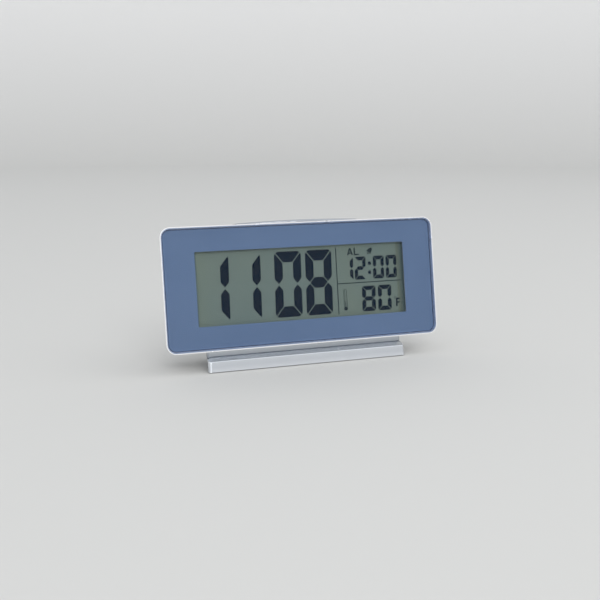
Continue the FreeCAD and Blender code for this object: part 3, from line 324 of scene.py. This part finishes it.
def inside_plate(n):
    """How far inside the face plate's rounded outline a point lies, in millimetres."""
    shift = PLATE_Y * math.sin(TILT) + PLATE_Z * math.cos(TILT)
    tall = LENS_HEIGHT / 2
    across = n.sums("ABSOLUTE", n.along((1, 0, 0)))
    up = n.along((0, math.sin(TILT), math.cos(TILT)))
    off_x = n.sums("SUBTRACT", across, LENS_HALF - LENS_CORNER)
    from_middle = n.sums("ABSOLUTE", n.sums("SUBTRACT", up, tall + shift))
    off_v = n.sums("SUBTRACT", from_middle, tall - LENS_CORNER)
    out_x, out_v = n.sums("MAXIMUM", off_x), n.sums("MAXIMUM", off_v)
    squares = n.sums("ADD", n.sums("MULTIPLY", out_x, out_x), n.sums("MULTIPLY", out_v, out_v))
    inner = n.sums("MINIMUM", n.sums("MAXIMUM", off_x, off_v), 0.0)
    return n.sums("SUBTRACT", LENS_CORNER, n.sums("ADD", n.sums("SQRT", squares), inner))


def plate_depth(n):
    """How far behind the face plate's front a point lies, in millimetres."""
    depth = n.along((0, math.cos(TILT), -math.sin(TILT)))
    return n.sums("SUBTRACT", depth, PLATE_Y * math.cos(TILT) - PLATE_Z * math.sin(TILT))


def blue_print(name):
    """Ink on the back of the face plate, with a painted shadow line at its outline and a band painted
    lighter just inside it, where the plate's edge brings light in.
    """
    edge_width = 2
    n = Nodes(name)
    tone = n.noise(0.03, 1.0)
    ink = n.ramp(tone, [(0.3, (0.099, 0.156, 0.268)), (0.7, (0.108, 0.167, 0.283))])
    # Painted shade and light at the edge: a dark painted shadow line at the outline, then a painted light
    # band that fades out by edge_width inside.
    edge = n.ramp(n.spread_from(inside_plate(n), 0, edge_width), [
        (0.24, (0.25, 0.28, 0.36)), (0.34, (1.2, 1.18, 1.16)), (0.75, (1.1, 1.08, 1.07)), (1.0, WHITE)])
    n.put(n.shader, "Base Color", n.multiplied(ink, edge))
    n.put(n.shader, "Roughness", n.spread(n.noise(2.0), 0.5, 0.6))
    n.put(n.shader, "Specular IOR Level", 0.2)
    return n.material


def display_film(name):
    """The display's front film: grey green, with the faint streaks of its backing, painted shade along its
    sides where the window's edges shade it, and a faint painted light band inside the left side.
    """
    reach = 55 * MM
    n = Nodes(name)
    cloud = n.noise(0.035, 2.0, (1, 1, 0.5))
    grain = n.noise(1.2, 4.0, (3, 1, 0.6))
    base = n.ramp(cloud, [(0.25, (0.120, 0.165, 0.155)), (0.75, (0.140, 0.178, 0.146))])
    streaks = n.ramp(grain, [(0.3, (0.975, 0.975, 0.975)), (0.7, WHITE)])
    # Painted shade along both sides of the film, bluish at the left and warm at the right, with a faint
    # painted light band just inside the left edge.
    sides = n.ramp(n.spread_from(n.place("X"), -reach, reach), [
        (0.0, (0.50, 0.62, 0.78)), (0.010, (0.62, 0.72, 0.85)), (0.016, (1.05, 1.05, 1.0)),
        (0.08, WHITE), (0.962, WHITE), (0.972, (0.80, 0.76, 0.66)), (0.985, (0.62, 0.64, 0.66)),
        (1.0, (0.45, 0.55, 0.66))])
    n.put(n.shader, "Base Color", n.multiplied(n.multiplied(base, streaks), sides))
    n.put(n.shader, "Roughness", n.spread(grain, 0.4, 0.5))
    n.put(n.shader, "Specular IOR Level", 0.25)
    return n.material


def display_ink(name, colour):
    """Matt ink with slight changes of tone."""
    n = Nodes(name)
    cloud = n.noise(0.4, 2.0)
    light = [part * 1.25 for part in colour]
    n.put(n.shader, "Base Color", n.ramp(cloud, [(0.3, colour), (0.7, light)]))
    n.put(n.shader, "Roughness", n.spread(cloud, 0.45, 0.55))
    n.put(n.shader, "Specular IOR Level", 0.05)
    return n.material


def board_material(name):
    """Green solder mask over copper tracks."""
    n = Nodes(name)
    tracks = n.add("TexVoronoi", Scale=0.35)
    tracks.feature = "DISTANCE_TO_EDGE"
    n.put(tracks, "Vector", n.in_millimetres())
    n.put(n.shader, "Base Color", n.ramp(tracks.outputs["Distance"], [
        (0.05, (0.07, 0.30, 0.10)), (0.09, (0.02, 0.14, 0.05))]))
    n.put(n.shader, "Roughness", n.spread(n.noise(2.0), 0.25, 0.35))
    n.bump(tracks.outputs["Distance"], 0.3, 0.02)
    return n.material


def sleeve(name, ink, band):
    """A cell's printed sleeve: ink over most of its length and a metallic band beyond a place along X."""
    n = Nodes(name)
    scratch = n.noise(1.0, 3.0, (0.3, 2, 2))
    edge = n.spread_from(n.place("X"), (band - 0.05) * MM, (band + 0.05) * MM)
    n.put(n.shader, "Base Color", n.blended("MIX", edge, (*ink, 1), (0.72, 0.55, 0.30, 1)))
    n.put(n.shader, "Metallic", 0.6)
    n.put(n.shader, "Roughness", n.spread(scratch, 0.22, 0.36))
    n.bump(scratch, 0.1, 0.004)
    return n.material


def make_materials():
    return {
        "clear_acrylic": clear_acrylic("clear_acrylic"),
        "blue_print": blue_print("blue_print"),
        "adhesive": plastic("adhesive", (0.10, 0.11, 0.13), 0.7, 2.0, 0.02),
        "silver_shell": silver_paint("silver_shell", (0.66, 0.665, 0.68), 0.34),
        # The rim's silver is lighter than the shell's: its own silver, plus a painted highlight along the
        # thin rim.
        "silver_rim": silver_paint("silver_rim", (0.96, 0.965, 0.98), 0.25, 0.55, rim=True),
        # The bar's silver is a darker copy of the case's: its own silver, made darker as painted shade that
        # dims the bright reflection on its top.
        "silver_bar": silver_paint("silver_bar", (0.38, 0.40, 0.43), 0.33, 0.9, coat=0.0),
        "silver_foot": foot_paint("silver_foot"),
        "silver_trim": silver_paint("silver_trim", (0.80, 0.83, 0.87), 0.17, 0.92),
        "grey_key": plastic("grey_key", (0.20, 0.21, 0.23), 0.5),
        "display_glass": plastic("display_glass", (0.55, 0.62, 0.58), 0.12, 1.0, 0.0005, 0.02),
        "polarizer": display_film("display_film"),
        "white_plastic": plastic("white_plastic", (0.80, 0.80, 0.78), 0.5),
        "guide_acrylic": plastic("guide_acrylic", (0.85, 0.88, 0.90), 0.15, 1.0, 0.001, 0.02),
        "black_rubber": plastic("black_rubber", (0.025, 0.025, 0.026), 0.8, 2.5, 0.02),
        "board": board_material("board"),
        "black_epoxy": plastic("black_epoxy", (0.015, 0.015, 0.016), 0.3, 0.8, 0.03),
        "steel": metal("steel", (0.60, 0.60, 0.59), 0.32),
        "nickel_spring": metal("nickel_spring", (0.68, 0.67, 0.62), 0.2),
        "brass_disc": metal("brass_disc", (0.78, 0.60, 0.28), 0.3, scale=1.0),
        "cell_jacket": sleeve("cell_jacket", (0.03, 0.10, 0.14), 14.0),
        "aluminium_can": metal("aluminium_can", (0.70, 0.71, 0.73), 0.28, (1, 6, 1)),
        "red_wire": plastic("red_wire", (0.45, 0.03, 0.03), 0.35),
        "black_wire": plastic("black_wire", (0.02, 0.02, 0.02), 0.35),
        "black_plastic": plastic("black_plastic", (0.025, 0.025, 0.027), 0.5),
    }


def dress_nodes(materials):
    """Gives each solid the material of its slot."""
    slots = {row["node"]: row["material_slot"] for row in frame["record"]["subparts"]}
    for name, thing in frame["nodes"].items():
        thing.data.materials.clear()
        thing.data.materials.append(materials[slots[name]])


# Meshes

def add_piece(name, mesh, body, material, place=None):
    """A piece of the scene on a body. place carries a mesh that was drawn elsewhere into the world."""
    thing = bpy.data.objects.new(name, mesh)
    thing.matrix_world = Matrix.Identity(4)
    if place is not None:
        mesh.transform(place)
    mesh.materials.clear()
    mesh.materials.append(material)
    bpy.context.scene.collection.objects.link(thing)
    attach(thing, body)
    return thing


def closed_mesh(name, form):
    """A mesh from a form of closed shells, with every face turned outwards."""
    bmesh.ops.recalc_face_normals(form, faces=form.faces)
    mesh = bpy.data.meshes.new(name)
    form.to_mesh(mesh)
    form.free()
    return mesh


def prisms(name, outlines, front, back):
    """A mesh of flat prisms on the plate, each from a closed outline of (x, v) points."""
    form = bmesh.new()
    for outline in outlines:
        low = [form.verts.new((x, v, front)) for x, v in outline]
        high = [form.verts.new((x, v, back)) for x, v in outline]
        form.faces.new(low)
        form.faces.new(high[::-1])
        for i in range(len(outline)):
            j = (i + 1) % len(outline)
            form.faces.new((low[j], low[i], high[i], high[j]))
    return closed_mesh(name, form)


def clipped(outline, point, normal):
    """The part of a convex outline on the far side of a line, against its normal."""
    kept = []
    for i, here in enumerate(outline):
        there = outline[(i + 1) % len(outline)]
        a = (here[0] - point[0]) * normal[0] + (here[1] - point[1]) * normal[1]
        b = (there[0] - point[0]) * normal[0] + (there[1] - point[1]) * normal[1]
        if a <= 0:
            kept.append(here)
        if (a < 0) != (b < 0) and abs(a - b) > 1e-9:
            share = a / (a - b)
            kept.append((here[0] + share * (there[0] - here[0]), here[1] + share * (there[1] - here[1])))
    return kept


def shrunk(outline, gap):
    """A convex, anticlockwise outline with every side moved in by the gap."""
    result = outline
    for i, here in enumerate(outline):
        there = outline[(i + 1) % len(outline)]
        dx, dy = there[0] - here[0], there[1] - here[1]
        length = math.hypot(dx, dy)
        normal = (dy / length, -dx / length)
        result = clipped(result, (here[0] - normal[0] * gap, here[1] - normal[1] * gap), normal)
    return result


SEGMENTS = {"0": "abcdef", "1": "bc", "2": "abged", "8": "abcdefg"}


def digit(figure, x, v, width, height, upright, level, gap, corner, slant):
    """The outlines of a seven-segment figure: upright and level are its strokes' thicknesses."""
    mid = height / 2
    w, h, u, t = width, height, upright, level
    shapes = {
        "a": [(0, h), (u, h - t), (w - u, h - t), (w, h)],
        "d": [(0, 0), (w, 0), (w - u, t), (u, t)],
        "b": [(w, h), (w - u, h - t), (w - u, mid + t / 2), (w - u / 2, mid), (w, mid + t / 2)],
        "c": [(w, 0), (w, mid - t / 2), (w - u / 2, mid), (w - u, mid - t / 2), (w - u, t)],
        "f": [(0, h), (0, mid + t / 2), (u / 2, mid), (u, mid + t / 2), (u, h - t)],
        "e": [(0, 0), (u, t), (u, mid - t / 2), (u / 2, mid), (0, mid - t / 2)],
        "g": [(u / 2, mid), (u, mid - t / 2), (w - u, mid - t / 2), (w - u / 2, mid),
              (w - u, mid + t / 2), (u, mid + t / 2)],
    }
    outlines = []
    for letter in SEGMENTS[figure]:
        outline = shrunk(shapes[letter], gap / 2)
        for side_x, side_v in ((-1, -1), (1, -1), (1, 1), (-1, 1)):
            centre = (corner if side_x < 0 else w - corner, corner if side_v < 0 else h - corner)
            for turn in (15, 30, 45, 60, 75):
                normal = (side_x * math.cos(math.radians(turn)), side_v * math.sin(math.radians(turn)))
                edge = (centre[0] + normal[0] * corner, centre[1] + normal[1] * corner)
                outline = clipped(outline, edge, normal)
        outlines.append([(x + px + slant * (pv - mid), v + pv) for px, pv in outline])
    return outlines


def disc(x, v, radius, sides=20):
    """Outline of a circle."""
    turns = [2 * math.pi * i / sides for i in range(sides)]
    return [(x + radius * math.cos(turn), v + radius * math.sin(turn)) for turn in turns]


def bar(x0, v0, x1, v1, thick):
    """A straight stroke between two points."""
    dx, dv = x1 - x0, v1 - v0
    length = math.hypot(dx, dv)
    nx, nv = -dv / length * thick / 2, dx / length * thick / 2
    return [(x0 - nx, v0 - nv), (x1 - nx, v1 - nv), (x1 + nx, v1 + nv), (x0 + nx, v0 + nv)]


def reshaped(node, name, body, move, material):
    """A piece that stands for a node: its form, with each point moved a little, in millimetres."""
    mesh = frame["nodes"][node].data.copy()
    mesh.name = name
    normals = [corner.vector.copy() for corner in mesh.corner_normals]
    for point in mesh.vertices:
        point.co = Vector(move(*(point.co / MM))) * MM
    mesh.normals_split_custom_set(normals)
    thing = add_piece(name, mesh, body, material)
    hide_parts(node)
    return thing


def make_foot(materials):
    """The foot, with a riser nearly as wide as its lip and a ledge that climbs higher."""
    low, high = (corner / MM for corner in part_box("foot"))
    narrow, wide = math.tan(math.radians(20)), math.tan(math.radians(8.5))
    riser = PLATE_Y + 2
    fade_start, side_reach, side_blend = riser + 4, 6, 3
    ledge_height, ledge_lift = 6.4, 0.7

    def move(x, y, z):
        side = high.x - narrow * (y - low.y)
        near = high.x - wide * (y - low.y)
        fade = min(max((y - fade_start) / (high.y - fade_start), 0), 1)
        target = near + (side - near) * fade
        share = min(max((abs(x) - side + side_reach) / side_blend, 0), 1)
        x += math.copysign((target - side) * share, x)
        if abs(y - riser) < 0.05 and abs(z - ledge_height) < 0.05:
            z += ledge_lift
        return x, y, z

    reshaped("foot", "foot_shell", "clock", move, materials["silver_foot"])


def make_snooze_bar(materials):
    """The snooze bar, with a flatter arch than its solid has."""
    half, rise = 31.5, 0.85
    start, blend = 57.5, 0.3

    def move(x, y, z):
        v = height_of(y, z)
        lift = rise * min((x / half) ** 2, 1) * min(max((v - start) / blend, 0), 1)
        return x, y + lift * math.sin(TILT), z + lift * math.cos(TILT)

    reshaped("snooze_bar", "snooze_bar_cap", "snooze_body", move, materials["silver_bar"])


def rounded(half, low, high, corner, steps=10):
    """Outline of a rounded oblong on the plate, anticlockwise."""
    points = []
    for side_x, side_v, start in ((1, 1, 0), (-1, 1, 90), (-1, -1, 180), (1, -1, 270)):
        centre_x = side_x * (half - corner)
        centre_v = high - corner if side_v > 0 else low + corner
        for step in range(steps + 1):
            turn = math.radians(start + 90 * step / steps)
            points.append((centre_x + corner * math.cos(turn), centre_v + corner * math.sin(turn)))
    return points


def plate_outline(inset):
    """The face plate's outline, moved inwards."""
    return rounded(LENS_HALF - inset, inset, LENS_HEIGHT - inset, LENS_CORNER - inset)


def join_rings(form, rings):
    """Faces between each ring of points and the next."""
    count = len(rings[0])
    for first, second in zip(rings, rings[1:]):
        for i in range(count):
            j = (i + 1) % count
            form.faces.new((first[j], first[i], second[i], second[j]))


def layered(name, *stacks):
    """A mesh of closed forms, each through outlines of as many points, with their depths."""
    form = bmesh.new()
    for layers in stacks:
        rings = [[form.verts.new((x, v, d)) for x, v in outline] for outline, d in layers]
        form.faces.new(rings[0])
        form.faces.new(rings[-1][::-1])
        join_rings(form, rings)
    return closed_mesh(name, form)


def soften(mesh, degrees=35):
    """Smooth shading, with every edge sharper than the angle left crisp."""
    for face in mesh.polygons:
        face.use_smooth = True
    mesh.set_sharp_from_angle(angle=math.radians(degrees))
    return mesh


def make_lens(materials):
    """The face plate, with its polished edge. Its back stands clear of the ink by a hair."""
    steps = ((0.28, 0), (0.13, 0.04), (0.04, 0.13), (0, 0.28), (0, 1.38), (0.1, 1.48))
    layers = [(plate_outline(inset), depth) for inset, depth in steps]
    thing = add_piece("face_plate", layered("face_plate", layers), "clock",
                      materials["clear_acrylic"], PLATE)
    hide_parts("front_lens")


def make_edge_glow():
    """A blue band on the face plate's polished edge: a painted reflection of the blue ink, which the edge
    mirrors to a viewer who looks across it.
    """
    outer, inner = plate_outline(-0.06), plate_outline(-0.01)
    front, back = 0.35, 1.85
    form = bmesh.new()
    rings = [[form.verts.new((x, v, d)) for x, v in outline]
             for outline, d in ((outer, front), (outer, back), (inner, back), (inner, front))]
    join_rings(form, rings + rings[:1])
    add_piece("edge_glow", closed_mesh("edge_glow", form), "clock",
              display_ink("edge_painted_reflection", (0.26, 0.34, 0.50)), PLATE)


INK_FRONT, INK_BACK = 3.44, 3.5
BIG = dict(width=14.4, height=32.6, upright=4.7, level=5.7, gap=0.44, corner=3.2, slant=0.027)
SMALL = dict(width=6.3, height=11.7, upright=2.05, level=2.15, gap=0.24, corner=1.4, slant=0.027)
MIDDLE = dict(width=7.7, height=13.0, upright=2.4, level=2.4, gap=0.26, corner=1.7, slant=0.03)
FIGURES = (
    (BIG, 12.5, (("1", -51.9), ("1", -35.8), ("0", -14.75), ("8", 1.45))),
    (SMALL, 28.75, (("2", 28.15), ("0", 38.25), ("0", 45.35), ("1", 21.3))),
    (MIDDLE, 12.55, (("8", 31.3), ("0", 40.1))),
)


def make_display():
    """The display's figures and signs, as thin ink on its front film."""
    figures = []
    for size, v, row in FIGURES:
        for figure, x in row:
            figures += digit(figure, x, v, **size)
    figures += [disc(36.5, 36.8, 0.92), disc(36.35, 32.2, 0.92)]
    figures += [bar(50.4, 14.1, 50.6, 18.3, 0.85), bar(50.3, 18.0, 52.3, 18.0, 0.7),
                bar(50.6, 16.2, 52.1, 16.2, 0.7)]
    dark = display_ink("display_ink", (0.002, 0.008, 0.019))
    add_piece("display_figures", prisms("display_figures", figures, INK_FRONT, INK_BACK),
              "clock", dark, PLATE)
    signs = [bar(18.3, 12.3, 18.5, 45.4, 0.46), bar(18.42, 27.35, 53.3, 27.35, 0.46)]
    signs += letter_a(24.7, 41.35, 2.9, 3.5)
    signs += [bar(28.6, 41.2, 28.6, 44.9, 0.75), bar(28.3, 41.5, 31.0, 41.5, 0.7)]
    signs += bell(36.9, 43.05)
    signs += thermometer(22.3, 14.8)
    signs += ring(49.75, 18.6, 0.55, 0.2)
    grey = display_ink("display_ink_fine", (0.012, 0.022, 0.028))
    add_piece("display_signs", prisms("display_signs", signs, INK_FRONT, INK_BACK),
              "clock", grey, PLATE)


def letter_a(x, v, width, height):
    """The strokes of a capital A."""
    peak = x + width / 2
    return [bar(x + 0.2, v, peak, v + height, 0.75), bar(x + width - 0.2, v, peak, v + height, 0.75),
            bar(x + 0.6, v + height * 0.3, x + width - 0.6, v + height * 0.3, 0.6)]


def ring(x, v, radius, thick, sides=16):
    """A ring, in short straight parts."""
    parts = []
    for i in range(sides):
        a, b = 2 * math.pi * i / sides, 2 * math.pi * (i + 1) / sides
        inner, outer = radius - thick / 2, radius + thick / 2
        parts.append([(x + inner * math.cos(a), v + inner * math.sin(a)),
                      (x + outer * math.cos(a), v + outer * math.sin(a)),
                      (x + outer * math.cos(b), v + outer * math.sin(b)),
                      (x + inner * math.cos(b), v + inner * math.sin(b))])
    return parts


def turned(outline, x, v, angle):
    """An outline round 0, 0, turned by an angle in degrees and moved to x, v."""
    c, s = math.cos(math.radians(angle)), math.sin(math.radians(angle))
    return [(x + px * c - pv * s, v + px * s + pv * c) for px, pv in outline]


def bell(x, v):
    """A small alarm bell that leans to the right."""
    dome = [(-1.6, -0.95), (1.6, -0.95), (1.15, -0.3), (0.95, 0.9), (0.55, 1.6), (0, 1.9),
            (-0.55, 1.6), (-0.95, 0.9), (-1.15, -0.3)]
    clapper = [(px * 0.5, pv * 0.42 - 1.6) for px, pv in disc(0, 0, 1.0, 12)]
    return [turned(dome, x, v, -40), turned(clapper, x, v, -40)]


def thermometer(x, v):
    """A thermometer with its bulb at x, v."""
    parts = [disc(x, v, 1.0), bar(x, v, x, v + 3.4, 0.4)]
    parts += [bar(x - 0.85, v + 0.9, x - 0.7, v + 9.0, 0.22), bar(x + 0.85, v + 0.9, x + 0.7, v + 9.0, 0.22)]
    arc = [(x + 0.7 * math.cos(a), v + 9.0 + 0.7 * math.sin(a)) for a in
           [math.pi * i / 8 for i in range(9)]]
    parts += [bar(*first, *second, 0.22) for first, second in zip(arc, arc[1:])]
    parts += [bar(x - 0.6, v + 2.2 + i * 1.3, x + 0.1, v + 2.2 + i * 1.3, 0.24) for i in range(6)]
    return parts


# Back

BACK = 26.5
KEY_HEIGHT = 41.2
KEY_PROFILE = ((3.6, -0.4), (3.6, 0.5), (3.53, 0.66), (3.35, 0.77), (3.1, 0.8), (2.8, 0.78),
               (2.2, 0.66), (1.4, 0.56), (0.6, 0.52))
KEYS = {"time": -36, "alarm": -18, "unit": 0, "hour": 18, "minute": 36}


def pushed_in(node, name, body, how_far, materials):
    """A grey piece that stands for a node on the back, its points drawn in by a rule of their depth."""
    def move(x, y, z):
        back = how_far(depth_of(y, z))
        return x, y - back * math.cos(TILT), z + back * math.sin(TILT)

    return reshaped(node, name, body, move, materials["grey_key"])


def make_keys(materials):
    """Each key's solid with its cap drawn in, under a cap with a rounded edge and a dished top."""
    for name, key_x in KEYS.items():
        thing = pushed_in(f"{name}_key", f"{name}_button", f"{name}_key_body",
                          lambda depth: max(depth - BACK - 0.1, 0), materials)
        layers = [(disc(key_x, KEY_HEIGHT, radius, 40), BACK + rise) for radius, rise in KEY_PROFILE]
        cap = layered(f"{name}_cap", layers)
        cap.transform(PLATE)
        merge(thing, soften(cap))


def merge(thing, mesh):
    """Adds a mesh to a piece, as a form of its own."""
    form = bmesh.new()
    form.from_mesh(thing.data)
    form.from_mesh(mesh)
    form.to_mesh(thing.data)
    form.free()


def make_slide(materials):
    """The slide switch's knob: its top is lowered between five ribs."""
    start = knob_start("alarm_slide")
    low, high = 18.5, 21.5
    thing = pushed_in("alarm_slide", "alarm_slide_knob", "alarm_slide_body",
                      lambda depth: 0.4 if depth > BACK + 1 else 0, materials)
    places = [start + 0.3 + 0.85 * i for i in range(5)]
    ribs = prisms("ribs", [bar(x, low, x, high, 0.4) for x in places], BACK + 0.7, BACK + 1.2)
    ribs.transform(PLATE)
    merge(thing, ribs)


def knob_start(node):
    """Where the part of a node that stands proud of the back starts along X, in millimetres."""
    points = [point.co / MM for point in frame["nodes"][node].data.vertices]
    return min(point.x for point in points if depth_of(point.y, point.z) > BACK + 1)


def cross(x, v, reach, width):
    """Outline of a cross recess, with 24 points that match a circle's."""
    middle = (reach + width) / 2
    arm = ((reach, 0), (reach, width), (middle, width), (width, width), (width, middle), (width, reach))
    return [turned([point], x, v, 90 * turn)[0] for turn in range(4) for point in arm]


SCREW_HEIGHTS = (8.5, 48)
SCREW_HEAD, SCREW_SHANK = 1.9, 1.1
SCREW_FACE, SCREW_SEAT, SCREW_END = 14.4, 13.0, 4.7


def screw_layers(x, v):
    """A cross-recessed screw whose head faces backwards."""
    recess = cross(x, v, SCREW_HEAD * 0.55, SCREW_HEAD * 0.13)
    layers = [(recess, SCREW_FACE - 0.9), (recess, SCREW_FACE)]
    rounds = ((SCREW_HEAD - 0.35, SCREW_FACE), (SCREW_HEAD - 0.1, SCREW_FACE - 0.12),
              (SCREW_HEAD, SCREW_FACE - 0.35), (SCREW_HEAD, SCREW_SEAT),
              (SCREW_SHANK, SCREW_SEAT), (SCREW_SHANK, SCREW_END))
    return layers + [(disc(x, v, radius, 24), depth) for radius, depth in rounds]


def make_screws(materials):
    """Cross-recessed screws in place of the plain ones that hold the case."""
    low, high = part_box("case_screws")
    centre = (high.x - low.x) / 2 / MM - SCREW_HEAD
    stacks = [screw_layers(side * centre, v) for side in (-1, 1) for v in SCREW_HEIGHTS]
    mesh = soften(layered("case_screw_set", *stacks), 30)
    thing = add_piece("case_screw_set", mesh, "clock", materials["steel"], PLATE)
    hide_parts("case_screws")


def make_pads(materials):
    """Four round rubber pads with softened edges under the foot."""
    low, high = (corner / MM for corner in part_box("foot_pads"))
    pad = 4
    profile = ((pad - 0.2, 0), (pad - 0.06, 0.06), (pad, 0.2), (pad, high.z))
    stacks = [[(disc(x, y, radius, 40), height) for radius, height in profile]
              for x in (low.x + pad, high.x - pad) for y in (low.y + pad, high.y - pad)]
    mesh = soften(layered("rubber_pads", *stacks))
    mesh.transform(Matrix.Diagonal((MM, MM, MM, 1)))
    thing = add_piece("rubber_pads", mesh, "clock", materials["black_rubber"])
    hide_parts("foot_pads")


def lettering(name, words, body, material):
    """Printed words on the back: each word with its middle, its base height and its size in millimetres."""
    form = bmesh.new()
    for word, x, v, size in words:
        text = bpy.data.curves.new(name, "FONT")
        text.body = word
        text.size = size
        text.align_x = "CENTER"
        text.extrude = 0.02
        text.resolution_u = 3
        text.space_character = 1.08
        carrier = bpy.data.objects.new(name, text)
        mesh = bpy.data.meshes.new_from_object(carrier)
        mirrored = Matrix(((-1, 0, 0, x), (0, 1, 0, v), (0, 0, 1, BACK + 0.01), (0, 0, 0, 1)))
        mesh.transform(PLATE @ mirrored)
        form.from_mesh(mesh)
        bpy.data.objects.remove(carrier)
    bmesh.ops.remove_doubles(form, verts=form.verts, dist=1e-7)
    add_piece(name, closed_mesh(name, form), body, material)


KEY_WORDS = {"time": "TIME", "alarm": "ALARM", "unit": "\u00b0C/\u00b0F", "hour": "HOUR", "minute": "MIN"}


def make_legends():
    """The print on the back: the keys' and the switch's words, and the door's arrow."""
    ink = display_ink("legend_ink", (0.10, 0.105, 0.115))
    words = [(word, KEYS[key], 46.6, 2.7) for key, word in KEY_WORDS.items()]
    words += [("ALARM", 44, 24.6, 2.5), ("ON", 37.2, 19.1, 2.4), ("OFF", 54.2, 19.1, 2.4)]
    lettering("legends", words, "clock", ink)
    outlines = [[(-1.6, 23.5), (1.6, 23.5), (0, 21.3)],
                [(-1.6, 26), (1.6, 26), (1.6, 25.4), (-1.6, 25.4)]]
    arrow = prisms("door_arrow", outlines, BACK - 0.02, BACK + 0.03)
    add_piece("door_arrow", arrow, "door_body", ink, PLATE)


# Floor

def make_floor():
    """A round studio bowl: flat in the middle, rising smoothly far from the object."""
    form = bmesh.new()
    flat, rise, wall, sides, steps = 1.6, 0.5, 0.25, 96, 16
    profile = [(flat, 0.0)]
    for step in range(1, steps + 1):
        turn = math.pi / 2 * step / steps
        profile.append((flat + rise * math.sin(turn), rise * (1 - math.cos(turn))))
    profile.append((flat + rise, rise + wall))
    rings = [[form.verts.new((x, y, height)) for x, y in disc(0, 0, radius, sides)]
             for radius, height in profile]
    form.faces.new(rings[0])
    join_rings(form, rings)
    mesh = bpy.data.meshes.new("floor")
    form.to_mesh(mesh)
    form.free()
    for face in mesh.polygons:
        face.use_smooth = True
    n = Nodes("floor")
    # The paper is painted lighter up the rising wall than on the flat: painted light that makes up for the
    # light the wall lacks.
    climb = n.spread_from(n.place("Z"), 0.0, 0.35)
    paper_and_wall_light = n.ramp(climb, [(0.0, (0.63, 0.627, 0.609)), (1.0, (0.86, 0.855, 0.845))])
    n.put(n.shader, "Base Color", paper_and_wall_light)
    n.put(n.shader, "Roughness", 0.9)
    n.put(n.shader, "Specular IOR Level", 0.1)
    mesh.materials.append(n.material)
    floor = bpy.data.objects.new("floor", mesh)
    bpy.context.scene.collection.objects.link(floor)


make_camera()
make_world()
make_lamp("key", (0.8, -0.3, 1.2), 1.3, 2.2)
make_lamp("fill", (-0.25, -1.6, 0.95), 1.0, 10)
make_floor()
materials = make_materials()
dress_nodes(materials)
frame["nodes"]["front_case"].data.materials[0] = materials["silver_rim"]
make_lens(materials)
make_edge_glow()
make_snooze_bar(materials)
make_foot(materials)
make_display()
make_keys(materials)
make_slide(materials)
make_screws(materials)
make_pads(materials)
make_legends()

bpy.context.scene.view_settings.view_transform = "Standard"
